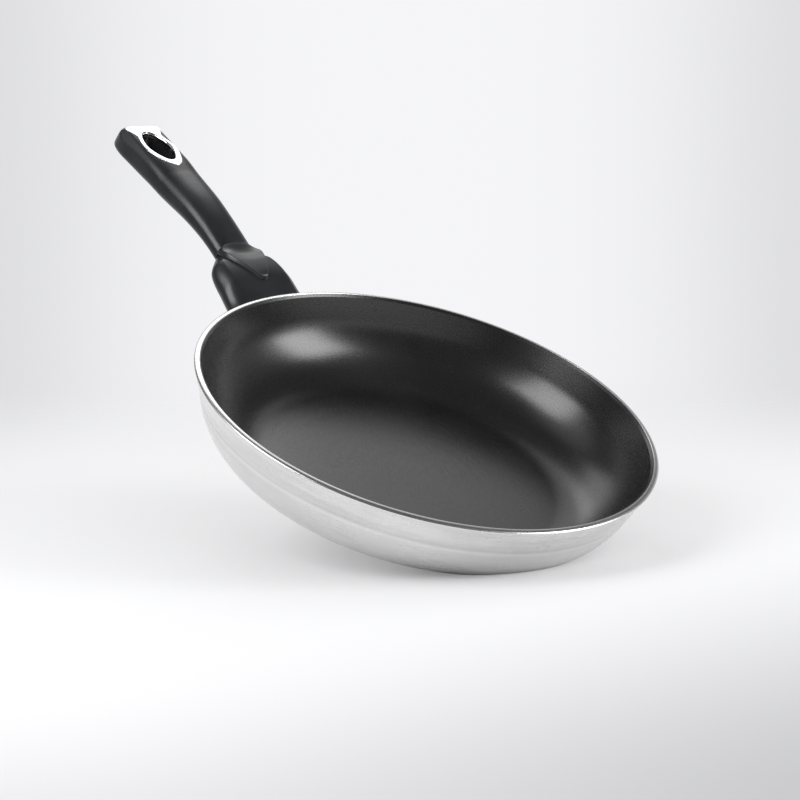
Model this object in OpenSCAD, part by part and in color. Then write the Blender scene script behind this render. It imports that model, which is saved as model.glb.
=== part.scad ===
// Frying pan with a coated bowl, an inlaid base plate and a moulded handle clamped to a welded lug.
// The origin is the centre of the base's face, +Z runs up the bowl's axis and the handle points along -X.

/* [Bowl] */
// Diameter over the rim
pan_d = 280; // [260:2:300]
// Height of the rim above the base's face
pan_h = 52.4; // [49:0.2:56]
// Distance by which the rim stands out beyond the flat of the base
rim_out = 50; // [47:0.5:54]
// Outside radius of the belly, between base and wall
belly_r = 44.4; // [41:0.2:46]
// Height of the flared band below the rim
flare_h = 17.4; // [14:0.2:20]
// Width of the rim across its top
rim_w = 4; // [3.6:0.1:4.4]
// Width of the bare metal land on top of the rim
land_w = 3.1; // [2.6:0.1:3.3]
// Radius that rounds the rim's outer edge
rim_r = 1.2; // [0.8:0.1:1.5]
// Depth of the bevel inside the rim
bevel_h = 1.6; // [1.2:0.1:2.2]
// Thickness of the metal in the base
floor_t = 4.8; // [4:0.1:6]
// Thickness of the wall at the crease under the flared band
wall_t = 2.2; // [1.8:0.1:2.8]
// Inside radius of the belly
inside_r = 44; // [41:0.5:46]
// Thickness of the coating
coat_t = 0.4; // [0.3:0.05:0.6]
// Step from the rim's land down to the coating's edge
coat_step = 0.2; // [0.1:0.05:0.4]

/* [Base plate] */
// Distance from the edge of the inlaid plate to the edge of the base's flat
plate_in = 19; // [15:0.5:26]
// Thickness of the plate
plate_t = 0.8; // [0.6:0.1:1.2]
// Diameter of the holes that the bowl's metal is pressed through
plate_hole_d = 6; // [4:0.2:7]
// Number of rings of holes
plate_rings = 5; // [3:1:5]
// Holes in the inmost ring, and the number that each further ring adds
ring_step = 6; // [5:1:6]
// Depth of the plugs below the plate's face
plug_sink = 0.2; // [0.1:0.05:0.4]
// Width of the turned grooves round the plate
groove_w = 1.2; // [0.8:0.1:1.6]
// Depth of the turned grooves
groove_depth = 0.3; // [0.2:0.05:0.4]
// Distance from groove to groove
groove_pitch = 4; // [3:0.2:4.4]

/* [Handle] */
// Length of the handle beyond the rim
handle_len = 197; // [177:1:213]
// Height of the handle's end above the rim
handle_rise = 28; // [22:1:34]
// Greatest width of the grip
grip_w = 34.4; // [32:0.2:38]
// Greatest thickness of the grip
grip_t = 21; // [20:0.2:24]
// Length of the rounded end of the grip
nose_l = 18; // [15:1:22]
// Distance by which the end's top edge lies behind its middle
nose_lean = 4.5; // [3:0.5:6]
// Width of the shield where it meets the wall
shield_w = 64; // [58:1:68]
// Height of the shield where it meets the wall
shield_h = 28; // [26:1:32]
// Thickness of the shield's moulding
shield_t = 2.6; // [2:0.1:3]
// Height by which the shield's top is crowned
crown_h = 1.8; // [1.4:0.1:2.4]
// Gap between the shield and the wall
wall_gap = 0.3; // [0.2:0.05:0.4]
// Thickness of the grip's pointed tongue at its edge
tongue_t = 1.8; // [1.4:0.1:2.4]
// Height of the raised lip round the tongue
lip_h = 0.8; // [0.4:0.1:1.2]
// Gap between the tongue and the shield below it
lap_gap = 0.25; // [0.2:0.05:0.35]

/* [Hanging ring] */
// Length of the hanging hole
hole_l = 33.6; // [30:0.2:36]
// Width of the hanging hole
hole_w = 17; // [14:0.2:18.4]
// Distance from the handle's end to the middle of the hole
hole_back = 31.8; // [30:0.2:35]
// Slope of the ring's face, rising to the handle's end
ring_slope = 6.5; // [4:0.5:8]
// Greatest width of the ring round the hole
ring_w = 24.6; // [23:0.2:26]
// Thickness of the ring's face
ring_t = 1.6; // [1.2:0.1:2]
// Depth of the ring's collar inside the hole
collar_h = 3; // [2:0.2:4]
// Thickness of the collar and of the liner below it
liner_t = 1.4; // [1:0.1:1.6]
// Diameter of the ring's pegs
peg_d = 2.4; // [2:0.1:2.8]
// Length of the ring's pegs
peg_l = 4; // [3:0.5:5]

/* [Lug and screw] */
// Slope of the lug's arm
arm_slope = 16; // [15:0.1:17]
// Width of the lug's arm
arm_w = 12; // [10:0.5:13]
// Thickness of the lug's arm
arm_t = 4.6; // [4:0.1:5]
// Length of the arm past the screw
arm_end = 9; // [7:0.5:12]
// Distance from the rim to the screw
screw_out = 86; // [82:0.5:92]
// Width of the lug's pad on the wall
pad_w = 34; // [28:1:36]
// Height of the pad
pad_h = 15; // [12:0.5:16]
// Thickness of the pad
pad_t = 3.2; // [2.6:0.1:4]
// Thickness of the web under the arm
web_t = 5; // [4:0.5:7]
// Diameter of the screw
screw_d = 5; // [4:0.1:5.4]
// Diameter of the screw's head
head_d = 9; // [8.4:0.1:9.4]
// Height of the screw's head
head_h = 2.4; // [2:0.1:2.8]
// Thickness of the flat washer
washer_t = 0.8; // [0.6:0.1:1]
// Thickness of the spring washer
spring_t = 1; // [0.8:0.1:1.2]
// Thickness of the grip under the flat washer
seat_t = 1.8; // [1.4:0.1:2.4]
// Clearance round the arm in the grip's socket
socket_gap = 0.2; // [0.15:0.05:0.3]
// Clearance between pieces that are pressed together
press_gap = 0.05; // [0.03:0.01:0.1]

/* [Hidden] */
$fn = 96;

// How far a cut reaches past the face that it opens
over = 1;
pan_r = pan_d / 2;
base_r = pan_r - rim_out;

// Outside of the bowl: an arc from the flat base up to a soft crease, then a straight flared band that
// runs into the round edge of the rim
crease_z = pan_h - flare_h;
crease_a = asin((belly_r - crease_z) / belly_r);
crease_r = base_r + belly_r * cos(crease_a);
rim_edge = [pan_r - rim_r, pan_h - rim_r];
rim_run = rim_edge - [crease_r, crease_z];
flare_a = atan(rim_run[0] / rim_run[1]) + asin(rim_r / norm(rim_run));

// Inside of the bowl: the wall runs straight from the rim, past the crease, to the arc of the belly
inside_a = atan((pan_r - rim_w - crease_r + wall_t) / flare_h);
inside_c = cos(inside_a) * (pan_r - rim_w) - sin(inside_a) * pan_h;
inside_z = floor_t + inside_r;
inside_x = (inside_c - inside_r + sin(inside_a) * inside_z) / cos(inside_a);

// Places along the handle are shares of its length beyond the rim, heights are shares of its rise
seam_share = 0.325;
seam_l = pan_r + handle_len * seam_share;

// Distance along the handle, height of its top, half width, thickness and roundness of its section
grip_rows_share = [
    [0.3250, 0.110, 0.790, 0.810, 2.4],
    [0.3804, 0.245, 0.800, 0.802, 2.4],
    [0.4471, 0.405, 0.815, 0.858, 2.4],
    [0.5383, 0.576, 0.868, 0.925, 2.5],
    [0.6501, 0.710, 0.925, 0.985, 2.7],
    [0.7619, 0.830, 0.968, 1.000, 3.1],
    [0.8726, 0.943, 0.975, 0.965, 3.8],
    [0.9649, 1.016, 1.010, 0.925, 4.6],
    [1.0000, 1.044, 1.004, 0.945, 4.8]
];

// Distance along the handle, height of its top and half width of the tongue
tongue_rows_share = [
    [0.1415, -0.105, 0.170],
    [0.1805, -0.025, 0.400],
    [0.2287, 0.040, 0.680],
    [0.2615, 0.058, 0.810],
    [0.2820, 0.064, 0.850],
    [0.3025, 0.078, 0.840],
    [0.3250, 0.110, 0.790]
];

// Distance along the handle, height of the section's middle, half width and half height of the shield
shield_rows_share = [
    [-0.0205, -0.965, 1.020, 1.000],
    [0.0410, -0.890, 1.020, 0.968],
    [0.1025, -0.758, 0.910, 0.980],
    [0.1723, -0.553, 0.860, 1.060],
    [0.2543, -0.372, 0.790, 0.850],
    [0.2943, -0.315, 0.600, 0.600],
    [0.3250, -0.270, 0.410, 0.500]
];

// Step, distance from the hole's middle and half width of the ring's face, with a row past each end
ring_rows_share = [
    [0, -0.759, 0.000],
    [1, -0.699, 0.244],
    [2, -0.601, 0.515],
    [3, -0.381, 0.800],
    [4, -0.131, 1.000],
    [5, 0.131, 0.940],
    [6, 0.271, 0.840],
    [7, 0.405, 0.800],
    [8, 0.524, 0.915],
    [9, 0.625, 1.075],
    [10, 0.702, 1.030],
    [11, 0.738, 0.720],
    [12, 0.741, 0.000],
    [13, 0.738, -0.720],
    [14, 0.702, -1.030]
];

// Height of the shield's side creases, as a share of its half height
crease_share = 0.7;
// Roundness of the shield's section, the tongue's edge and the handle's end
shield_power = 2.1;
tongue_power = 5;
nose_power = 6;
nose_side_power = 7;
// Where the tongue's barbs start to close in towards the seam
barb_share = 0.2687;
// Length over which the tongue's tip is rounded
tongue_tip_l = tongue_t * 1.7;
// Lean of the grip's front edge at the seam
seam_draft = tongue_t / 5;
// Height of the hanging hole's middle, as a share of the handle's rise
ring_share = 0.9036;
// Where the grip's top runs into the ring's plane, and how far it stands above before it is cut flat
flat_from_share = 0.6768;
flat_to_share = 0.7793;
flat_cut = ring_t / 5;
// Place and lean of the bevels beside the ring
facet_share = 0.9536;
facet_w_share = 0.843;
facet_h_share = 0.77;
facet_tilt = 33.7;
facet_drift = 3.6;
// Radius of the hanging hole's ends, as a share of its width
hole_end_share = 0.29;
// Depth of the liner, as a share of the grip's thickness
liner_share = 0.96;
// Places of the ring's pegs, as shares of the hole's length and the ring's width
peg_front_share = 0.635;
peg_back_share = 0.625;
peg_side_share = 0.28;
// Radius of the screw's head, and of the key socket in it, as shares of the head's diameter
head_share = 0.46;
key_share = 0.19;
// Depth of the key socket, as a share of the head's height
key_depth_share = 0.6;

// Smooth curve through a table's rows, by cubic pieces that keep each row's mean slope
function row_of(t, s, i = 0) = i >= len(t) - 2 || s < t[i + 1][0] ? i : row_of(t, s, i + 1);
function row_slope(t, c, i) =
    let (a = max(i - 1, 0), b = min(i + 1, len(t) - 1)) (t[b][c] - t[a][c]) / (t[b][0] - t[a][0]);
function curve(t, c, s) =
    let (
        i = row_of(t, s),
        d = t[i + 1][0] - t[i][0],
        u = (s - t[i][0]) / d,
        a = t[i][c],
        b = t[i + 1][c],
        m = d * row_slope(t, c, i),
        n = d * row_slope(t, c, i + 1)
    )
    a + u * (m + u * (3 * (b - a) - 2 * m - n + u * (2 * (a - b) + m + n)));
function mix(a, b, u) = a + (b - a) * u;
function ease(a, b, x) = let (u = min(max((x - a) / (b - a), 0), 1)) u * u * (3 - 2 * u);
function power(v, p) = sign(v) * pow(abs(v), p);

// Bowl

// Filled piece of a circle between two directions less than half a turn apart
module sector(c, r, a, b) {
    far = r / cos((b - a) / 2);
    mid = (a + b) / 2;
    intersection() {
        translate(c) circle(r);
        polygon([
            c,
            c + r * [cos(a), sin(a)],
            c + far * [cos(mid), sin(mid)],
            c + r * [cos(b), sin(b)]
        ]);
    }
}

// Half section of the solid that the outside of the bowl encloses
module outside_2d() {
    polygon([
        [0, 0],
        [base_r, 0],
        [crease_r, crease_z],
        rim_edge + rim_r * [cos(flare_a), -sin(flare_a)],
        [rim_edge[0], pan_h],
        [0, pan_h]
    ]);
    sector([base_r, belly_r], belly_r, -90, -crease_a);
    sector(rim_edge, rim_r, -flare_a, 90);
}

// Radius of the inside wall at a height, moved in by a distance
function inside_at(z, d) = (inside_c - d + sin(inside_a) * z) / cos(inside_a);

// Half section of the space inside the bowl, with its walls moved in by a distance
module inside_2d(d) {
    r = inside_r - d;
    top = pan_h + over;
    polygon([
        [0, floor_t + d],
        [inside_x, floor_t + d],
        [inside_x + r * cos(inside_a), inside_z - r * sin(inside_a)],
        [inside_at(top, d), top],
        [0, top]
    ]);
    sector([inside_x, inside_z], r, -90, -inside_a);
    polygon([
        [0, pan_h - bevel_h],
        [inside_at(pan_h - bevel_h, d), pan_h - bevel_h],
        [pan_r - land_w - d, pan_h],
        [pan_r - land_w - d, top],
        [0, top]
    ]);
}

// Places of the holes in the base plate, ring by ring
plate_r = base_r - plate_in;
plate_pitch = plate_r / (plate_rings + 1 / 2);
function plate_holes() = [
    for (k = [1:plate_rings]) for (i = [0:ring_step * k - 1])
        let (a = 360 * i / (ring_step * k)) plate_pitch * k * [cos(a), sin(a)]
];

module pan_body() {
    groove_n = floor((base_r - plate_r) / groove_pitch) - 1;
    color("gainsboro") {
        rotate_extrude() difference() {
            outside_2d();
            inside_2d(0);
            square([plate_r + press_gap, plate_t + press_gap]);
            for (i = [1:groove_n])
                translate([plate_r + groove_pitch * i, 0])
                    square([groove_w, 2 * groove_depth], center = true);
        }
        for (p = plate_holes())
            translate([p[0], p[1], plug_sink])
                cylinder(r = plate_hole_d / 2 - press_gap, h = plate_t + press_gap - plug_sink + over / 2);
    }
}

module nonstick_coating() {
    color("dimgray") rotate_extrude() difference() {
        intersection() {
            inside_2d(0);
            square([pan_r, pan_h - coat_step]);
        }
        inside_2d(coat_t);
    }
}

module base_plate() {
    color("silver") linear_extrude(plate_t) difference() {
        circle(plate_r);
        for (p = plate_holes()) translate(p) circle(plate_hole_d / 2);
    }
}

// Handle

// Radius of the bowl's outside at a height
function outside_at(z) =
    z > crease_z ? crease_r + (z - crease_z) * tan(flare_a)
    : base_r + sqrt(max(pow(belly_r, 2) - pow(belly_r - z, 2), 0));

// Triangles of the skin over rings of n points each, with flat ends, or joined up as a closed loop
function skin(rings, n, closed = false) = [
    if (!closed) [for (j = [n - 1:-1:0]) j],
    if (!closed) [for (j = [0:n - 1]) (rings - 1) * n + j],
    for (i = [0:rings - (closed ? 1 : 2)]) for (j = [0:n - 1])
        let (a = i * n, c = ((i + 1) % rings) * n, k = (j + 1) % n)
            each [[a + j, a + k, c + j], [a + k, c + k, c + j]]
];

// Half width, half height and middle of the shield at a share of the handle's length
function shield_w_at(s) = curve(shield_rows_share, 2, s) * shield_w / 2;
function shield_h_at(s) = curve(shield_rows_share, 3, s) * shield_h / 2;
function shield_z_at(s) = pan_h + curve(shield_rows_share, 1, s) * handle_rise;

// Direction of the shield's side creases and their distance from the middle plane
crease_dir = asin(pow(crease_share, shield_power / 2));
crease_w_share = pow(cos(crease_dir), 2 / shield_power);

// Height of the shield's top at a share of the length and a distance from the middle plane
function shield_top_at(s, y) =
    let (u = y / (shield_w_at(s) * crease_w_share))
        shield_z_at(s) + shield_h_at(s) * crease_share + crown_h * (1 - u * u);

// Section of the shield: round sides and underside between two creases, with a crowned top
side_n = 24;
top_n = 12;
function shield_section(w, h) = [
    for (i = [0:side_n])
        let (a = mix(180 - crease_dir, 360 + crease_dir, i / side_n))
            [w * power(cos(a), 2 / shield_power), h * power(sin(a), 2 / shield_power)],
    for (i = [1:top_n - 1])
        let (u = 1 - 2 * i / top_n) [w * crease_w_share * u, h * crease_share + crown_h * (1 - u * u)]
];

// One ring of the shield, either upright or lying along the wall
function shield_ring(s, inset, on_wall) =
    [for (p = shield_section(shield_w_at(s) - inset, shield_h_at(s) - inset))
        let (z = shield_z_at(s) + p[1], r = outside_at(z) + wall_gap)
            [on_wall ? -sqrt(r * r - p[0] * p[0]) : -pan_r - handle_len * s, p[0], z]];

// The lug's arm starts at the middle of the pad and rises outwards
arm_foot_z = crease_z - flare_h / 2;
arm_foot_l = outside_at(arm_foot_z);
screw_l = pan_r + screw_out;
function arm_z(l) = arm_foot_z + (l - arm_foot_l) * tan(arm_slope);

// One ring of the shield's slot, square round the arm and close above it
function slot_ring(l) =
    let (
        w = arm_w / 2 + socket_gap,
        b = -arm_t / 2 / cos(arm_slope) - socket_gap,
        t = arm_t / 2 / cos(arm_slope) + press_gap,
        k = side_n / 4
    )
    [for (p = [
        for (i = [0:k - 1]) [-w, mix(t, b, i / k)],
        for (i = [0:2 * k - 1]) [mix(-w, w, i / (2 * k)), b],
        for (i = [0:k]) [w, mix(b, t, i / k)],
        for (i = [1:top_n - 1]) [mix(w, -w, i / top_n), t]
    ]) [-l, p[0], arm_z(l) + p[1]]];

module handle_shield() {
    first = shield_rows_share[0][0];
    start_share = 0.0308;
    hollow_share = 0.2563;
    steps = 14;
    hollow_steps = 8;
    rings = concat(
        [shield_ring(first, 0, true)],
        [for (i = [0:steps]) shield_ring(mix(start_share, seam_share, i / steps), 0, false)],
        [slot_ring(seam_l), slot_ring(pan_r + handle_len * hollow_share + shield_t)],
        [for (i = [hollow_steps:-1:0])
            shield_ring(mix(start_share, hollow_share, i / hollow_steps), shield_t, false)],
        [shield_ring(first, shield_t, true)]
    );
    color("#26272b")
        polyhedron([for (r = rings) each r], skin(len(rings), side_n + top_n, true), convexity = 6);
}

// Moves to the screw, with X running down the arm to the bowl and Z square to the arm
module at_screw() {
    translate([-screw_l, 0, arm_z(screw_l)]) rotate([0, arm_slope, 0]) children();
}

// Moves to the middle of the hanging hole, with Z square to the ring's face
ring_l = pan_r + handle_len - hole_back;
ring_z = pan_h + handle_rise * ring_share;
module at_ring() {
    translate([-ring_l, 0, ring_z]) rotate([0, ring_slope, 0]) children();
}

module handle_lug() {
    pad_top = asin((belly_r - arm_foot_z - pad_h / 2) / belly_r);
    pad_low = asin((belly_r - arm_foot_z + pad_h / 2) / belly_r);
    pad_turn = 2 * asin(pad_w / 2 / crease_r);
    up = arm_t / 2 / cos(arm_slope);
    root_l = [for (i = [1, -1]) outside_at(arm_foot_z + i * up) + pad_t / 2];
    square_to_arm = [sin(arm_slope), cos(arm_slope)];
    end = [-screw_l, arm_z(screw_l)] + arm_end * [-cos(arm_slope), sin(arm_slope)];
    web_z = arm_foot_z - pad_h / 3;
    web_l = arm_foot_l + pad_h;
    color("slategray") {
        rotate([0, 0, 180 - pad_turn / 2]) rotate_extrude(angle = pad_turn) difference() {
            sector([base_r, belly_r], belly_r + pad_t, -pad_low, -pad_top);
            translate([base_r, belly_r]) circle(belly_r);
        }
        difference() {
            rotate([90, 0, 0]) linear_extrude(arm_w, center = true) polygon([
                [-root_l[0], arm_z(root_l[0]) + up],
                [-root_l[1], arm_z(root_l[1]) - up],
                end - arm_t / 2 * square_to_arm,
                end + arm_t / 2 * square_to_arm
            ]);
            at_screw() cylinder(r = screw_d / 2, h = 2 * arm_t, center = true);
        }
        rotate([90, 0, 0]) linear_extrude(web_t, center = true) polygon([
            [-outside_at(arm_foot_z) - pad_t / 2, arm_foot_z],
            [-outside_at(web_z) - pad_t / 2, web_z],
            [-outside_at(web_z) - pad_t - web_t / 2, web_z],
            [-web_l, arm_z(web_l)]
        ]);
    }
}

// Top, half width, thickness and roundness of the grip at a share of the handle's length
function ring_plane_z(s) = ring_z + (pan_r + handle_len * s - ring_l) * tan(ring_slope);
function grip_top_at(s) =
    let (flat = ease(flat_from_share, flat_to_share, s))
        mix(pan_h + curve(grip_rows_share, 1, s) * handle_rise, ring_plane_z(s) + flat_cut, flat);
function grip_w_at(s) = curve(grip_rows_share, 2, s) * grip_w / 2;
function grip_t_at(s) = curve(grip_rows_share, 3, s) * grip_t;
function grip_power_at(s) = curve(grip_rows_share, 4, s);

// One ring of the grip beyond the seam, shrunk about its middle where the end rounds off
ring_n = 48;
function grip_ring(s, w_share, t_share, lean) =
    let (p = 2 / grip_power_at(s), t = grip_t_at(s) / 2, z = grip_top_at(s) - t)
    [for (j = [0:ring_n - 1])
        let (a = 360 * j / ring_n)
            [
                -pan_r - handle_len * s + lean * t_share * power(sin(a), p),
                grip_w_at(s) * w_share * power(cos(a), p),
                z + t * t_share * power(sin(a), p)
            ]];

// One ring of the tongue: its underside follows the shield, its top is dished inside a raised lip
function tongue_ring(s) =
    let (
        p = 2 / mix(tongue_power, grip_power_at(seam_share), ease(barb_share, seam_share, s)),
        x = (s - tongue_rows_share[0][0]) * handle_len,
        tip = sqrt(max(1 - pow(1 - min(x / tongue_tip_l, 1), 2), 0)),
        w = curve(tongue_rows_share, 2, s) * grip_w / 2 * tip,
        edge_z = shield_top_at(s, w) + lap_gap,
        top = pan_h + curve(tongue_rows_share, 1, s) * handle_rise,
        dish = lip_h * ease(0, tongue_tip_l, x) * (1 - ease(barb_share, seam_share, s))
    )
    [for (j = [0:ring_n - 1])
        let (
            a = 360 * j / ring_n,
            u = a < 180 ? power(cos(a), p) : (a - 270) / 90,
            high = top - dish * pow(max(1 - u * u, 0), 1 / 2)
        )
        [-pan_r - handle_len * s, w * u,
            a < 180 ? mix(edge_z, high, power(sin(a), p)) : shield_top_at(s, w * u) + lap_gap]];

// Outline of the hanging hole, grown by a distance: two long arcs and two small end arcs, all tangent
module hole_2d(grow) {
    end_r = hole_w * hole_end_share;
    x = hole_l / 2 - end_r;
    side_r = (x * x - end_r * end_r + pow(hole_w / 2, 2)) / (hole_w - 2 * end_r);
    off = side_r - hole_w / 2;
    reach = x / (side_r - end_r) * (side_r + grow);
    intersection() {
        translate([0, -off]) circle(side_r + grow);
        translate([0, off]) circle(side_r + grow);
        square([2 * reach, 2 * hole_w], center = true);
    }
    for (i = [-1, 1]) translate([i * x, 0]) circle(end_r + grow);
}

// Outline of the ring's face, grown by a distance along its width
function ring_side(grow) = [
    for (i = [0:4 * (len(ring_rows_share) - 3)])
        let (t = i / 4)
            [
                -curve(ring_rows_share, 1, t) * (hole_l + 2 * grow),
                curve(ring_rows_share, 2, t) * (ring_w / 2 + grow)
            ]
];
module ring_2d(grow) {
    half = ring_side(grow);
    polygon(concat(half, [for (i = [len(half) - 2:-1:1]) [half[i][0], -half[i][1]]]));
}

// Places of the ring's pegs, in the ring's own plane
peg_places = [
    [hole_l * peg_front_share, 0],
    [-hole_l * peg_back_share, ring_w * peg_side_share],
    [-hole_l * peg_back_share, -ring_w * peg_side_share]
];

module hanging_ring() {
    color("lightgray") at_ring() difference() {
        union() {
            translate([0, 0, -ring_t]) linear_extrude(ring_t) ring_2d(0);
            translate([0, 0, -collar_h]) linear_extrude(collar_h) hole_2d(liner_t);
            for (p = peg_places)
                translate([p[0], p[1], -ring_t - peg_l]) cylinder(r = peg_d / 2, h = peg_l);
        }
        translate([0, 0, -collar_h - over]) linear_extrude(collar_h + 2 * over) hole_2d(0);
    }
}

module hanging_liner() {
    color("#101013") at_ring() translate([0, 0, -liner_end]) linear_extrude(liner_end - collar_h)
        difference() {
            hole_2d(liner_t);
            hole_2d(0);
        }
}

// Depth of the liner's far end below the ring's face
liner_end = grip_t * liner_share;

module grip() {
    start = tongue_rows_share[0][0];
    tongue_n = 12;
    first_step = 1 / 6;
    crowding = 1.3;
    body_n = 18;
    nose_n = 7;
    nose_stop = 84;
    nose_from = 1 - nose_l / handle_len;
    body_start = seam_share + seam_draft / handle_len;
    rings = concat(
        [for (i = [0:tongue_n])
            tongue_ring(mix(start, seam_share, pow((i + first_step) / (tongue_n + first_step), crowding)))],
        [for (p = [grip_ring(body_start, 1, 1, 0)])
            [for (j = [0:ring_n - 1]) [j > ring_n / 2 ? -seam_l : p[j][0], p[j][1], p[j][2]]]],
        [for (i = [1:body_n]) grip_ring(mix(body_start, nose_from, i / body_n), 1, 1, 0)],
        [for (i = [1:nose_n])
            let (a = nose_stop * i / nose_n)
                grip_ring(
                    nose_from + nose_l / handle_len * sin(a) / sin(nose_stop),
                    pow(cos(a), 2 / nose_power),
                    pow(cos(a), 2 / nose_side_power),
                    nose_lean * sin(a)
                )]
    );
    far = 3 * nose_l;
    color("#1f2024") difference() {
        polyhedron([for (r = rings) each r], skin(len(rings), ring_n), convexity = 6);
        // Flat for the ring, and the bevels beside it
        at_ring() translate([-far * 2, -far, 0]) cube([far * 4, far * 2, far]);
        for (i = [-1, 1])
            translate([
                -pan_r - handle_len * facet_share,
                i * facet_w_share * grip_w / 2,
                ring_plane_z(facet_share) - grip_t / 2 * (1 - facet_h_share)
            ])
                rotate([0, 90 - facet_tilt, i * (90 - facet_drift)])
                    translate([-far / 2, -far / 2, 0]) cube([far, far, far]);
        // Seat of the ring, with its peg holes
        at_ring() {
            translate([0, 0, -ring_t]) linear_extrude(far) ring_2d(press_gap);
            translate([0, 0, -liner_end]) linear_extrude(far) hole_2d(liner_t + press_gap);
            translate([0, 0, -far]) linear_extrude(2 * far) hole_2d(0);
            for (p = peg_places)
                translate([p[0], p[1], -ring_t - peg_l - press_gap])
                    cylinder(r = peg_d / 2 + press_gap, h = far);
        }
        // Socket for the lug's arm, and the screw's way in from below
        at_screw() {
            translate([-arm_end - socket_gap, -arm_w / 2 - socket_gap, -arm_t / 2])
                cube([far * 2, arm_w + 2 * socket_gap, arm_t + socket_gap]);
            translate([0, 0, -far]) cylinder(r = screw_d / 2 + socket_gap, h = far);
            translate([0, 0, -far - arm_t / 2 - seat_t]) cylinder(r = head_d / 2 + 2 * socket_gap, h = far);
        }
    }
}

// Screw and washers, stacked below the grip's seat

module flat_washer() {
    color("silver") at_screw() translate([0, 0, -arm_t / 2 - seat_t - washer_t]) difference() {
        cylinder(r = head_d / 2, h = washer_t);
        translate([0, 0, -over]) cylinder(r = screw_d / 2 + socket_gap, h = washer_t + 2 * over);
    }
}

module spring_washer() {
    color("dimgray") at_screw() translate([0, 0, -arm_t / 2 - seat_t - washer_t - spring_t]) difference() {
        cylinder(r = head_d * head_share, h = spring_t);
        translate([0, 0, -over]) cylinder(r = screw_d / 2 + socket_gap, h = spring_t + 2 * over);
        translate([0, -spring_t / 4, -over]) cube([head_d, spring_t / 2, spring_t + 2 * over]);
    }
}

module clamp_screw() {
    stack = arm_t / 2 + seat_t + washer_t + spring_t;
    color("gray") at_screw() difference() {
        union() {
            translate([0, 0, -stack - head_h]) cylinder(r = head_d * head_share, h = head_h);
            translate([0, 0, -stack - over / 2])
                cylinder(r = screw_d / 2 - press_gap, h = stack + over / 2 + arm_t / 2);
        }
        // Hexagonal key socket
        translate([0, 0, -stack - head_h - over])
            cylinder(r = head_d * key_share, h = head_h * key_depth_share + over, $fn = 6);
    }
}

pan_body();
nonstick_coating();
base_plate();
handle_lug();
handle_shield();
grip();
hanging_ring();
hanging_liner();
clamp_screw();
spring_washer();
flat_washer();
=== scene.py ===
"""A frying pan dressed for its pictures: a coated bowl with an inlaid base plate, and a moulded
handle that is clamped to a welded lug.

Shapes are worked out in millimetres, in the frame of the CAD model: the origin is the centre of
the base's face, +Z runs up the bowl's axis and the handle points along -X.
"""

from __future__ import annotations

import logging
import math
from dataclasses import dataclass, field
from enum import Enum

import bpy
import numpy as np
from mathutils import Matrix, Vector

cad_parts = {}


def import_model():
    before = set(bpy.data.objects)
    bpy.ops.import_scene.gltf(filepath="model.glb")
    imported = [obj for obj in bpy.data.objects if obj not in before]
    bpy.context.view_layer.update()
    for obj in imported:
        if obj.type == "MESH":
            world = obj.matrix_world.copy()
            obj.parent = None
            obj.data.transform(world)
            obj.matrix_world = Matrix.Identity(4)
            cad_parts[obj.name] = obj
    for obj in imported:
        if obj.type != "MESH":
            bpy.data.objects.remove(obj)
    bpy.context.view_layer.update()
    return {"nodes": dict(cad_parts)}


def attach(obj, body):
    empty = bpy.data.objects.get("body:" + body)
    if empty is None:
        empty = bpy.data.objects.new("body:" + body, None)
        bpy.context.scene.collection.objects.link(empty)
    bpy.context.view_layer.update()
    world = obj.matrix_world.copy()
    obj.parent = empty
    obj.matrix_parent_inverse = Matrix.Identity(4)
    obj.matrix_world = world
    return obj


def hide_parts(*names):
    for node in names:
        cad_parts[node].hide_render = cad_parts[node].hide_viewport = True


Array = np.ndarray
Rgb = tuple[float, float, float]

METRE = 0.001
BODY = "root"
LOG = logging.getLogger("frying_pan")


# Numbers and curves


def mix(a: float | Array, b: float | Array, share: float | Array) -> Array:
    """The value a share of the way from a to b."""
    return a + (b - a) * share


def ease(low: float, high: float, x: Array) -> Array:
    """A smooth step, 3u^2 - 2u^3, from 0 at low to 1 at high."""
    u = np.clip((np.asarray(x, float) - low) / (high - low), 0.0, 1.0)
    return u * u * (3.0 - 2.0 * u)


def soft_min(a: Array, b: Array, width: float) -> Array:
    """The lower of a and b, with the corner between them rounded over a width."""
    h = np.clip(0.5 + 0.5 * (b - a) / width, 0.0, 1.0)
    return mix(b, a, h) - width * h * (1.0 - h)


def polar(radius: float | Array, angle: Array) -> Array:
    """Points at distances and directions: the radius times the cosine and the sine."""
    return np.stack([radius * np.cos(angle), radius * np.sin(angle)], -1)


def arc(centre: tuple[float, float], radius: float, start: float, stop: float, count: int) -> Array:
    """Points along a circle's arc.

    Args:
        centre: The arc's centre.
        radius: Its radius.
        start: Direction of its first point, in degrees.
        stop: Direction of its last point.
        count: Number of points.

    Returns:
        An array of count points.
    """
    return np.array(centre) + polar(radius, np.radians(np.linspace(start, stop, count)))


def circle(centre: tuple[float, float], radius: float, count: int) -> Array:
    """Points evenly round a whole circle."""
    return arc(centre, radius, 0.0, 360.0 * (count - 1) / count, count)


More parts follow.
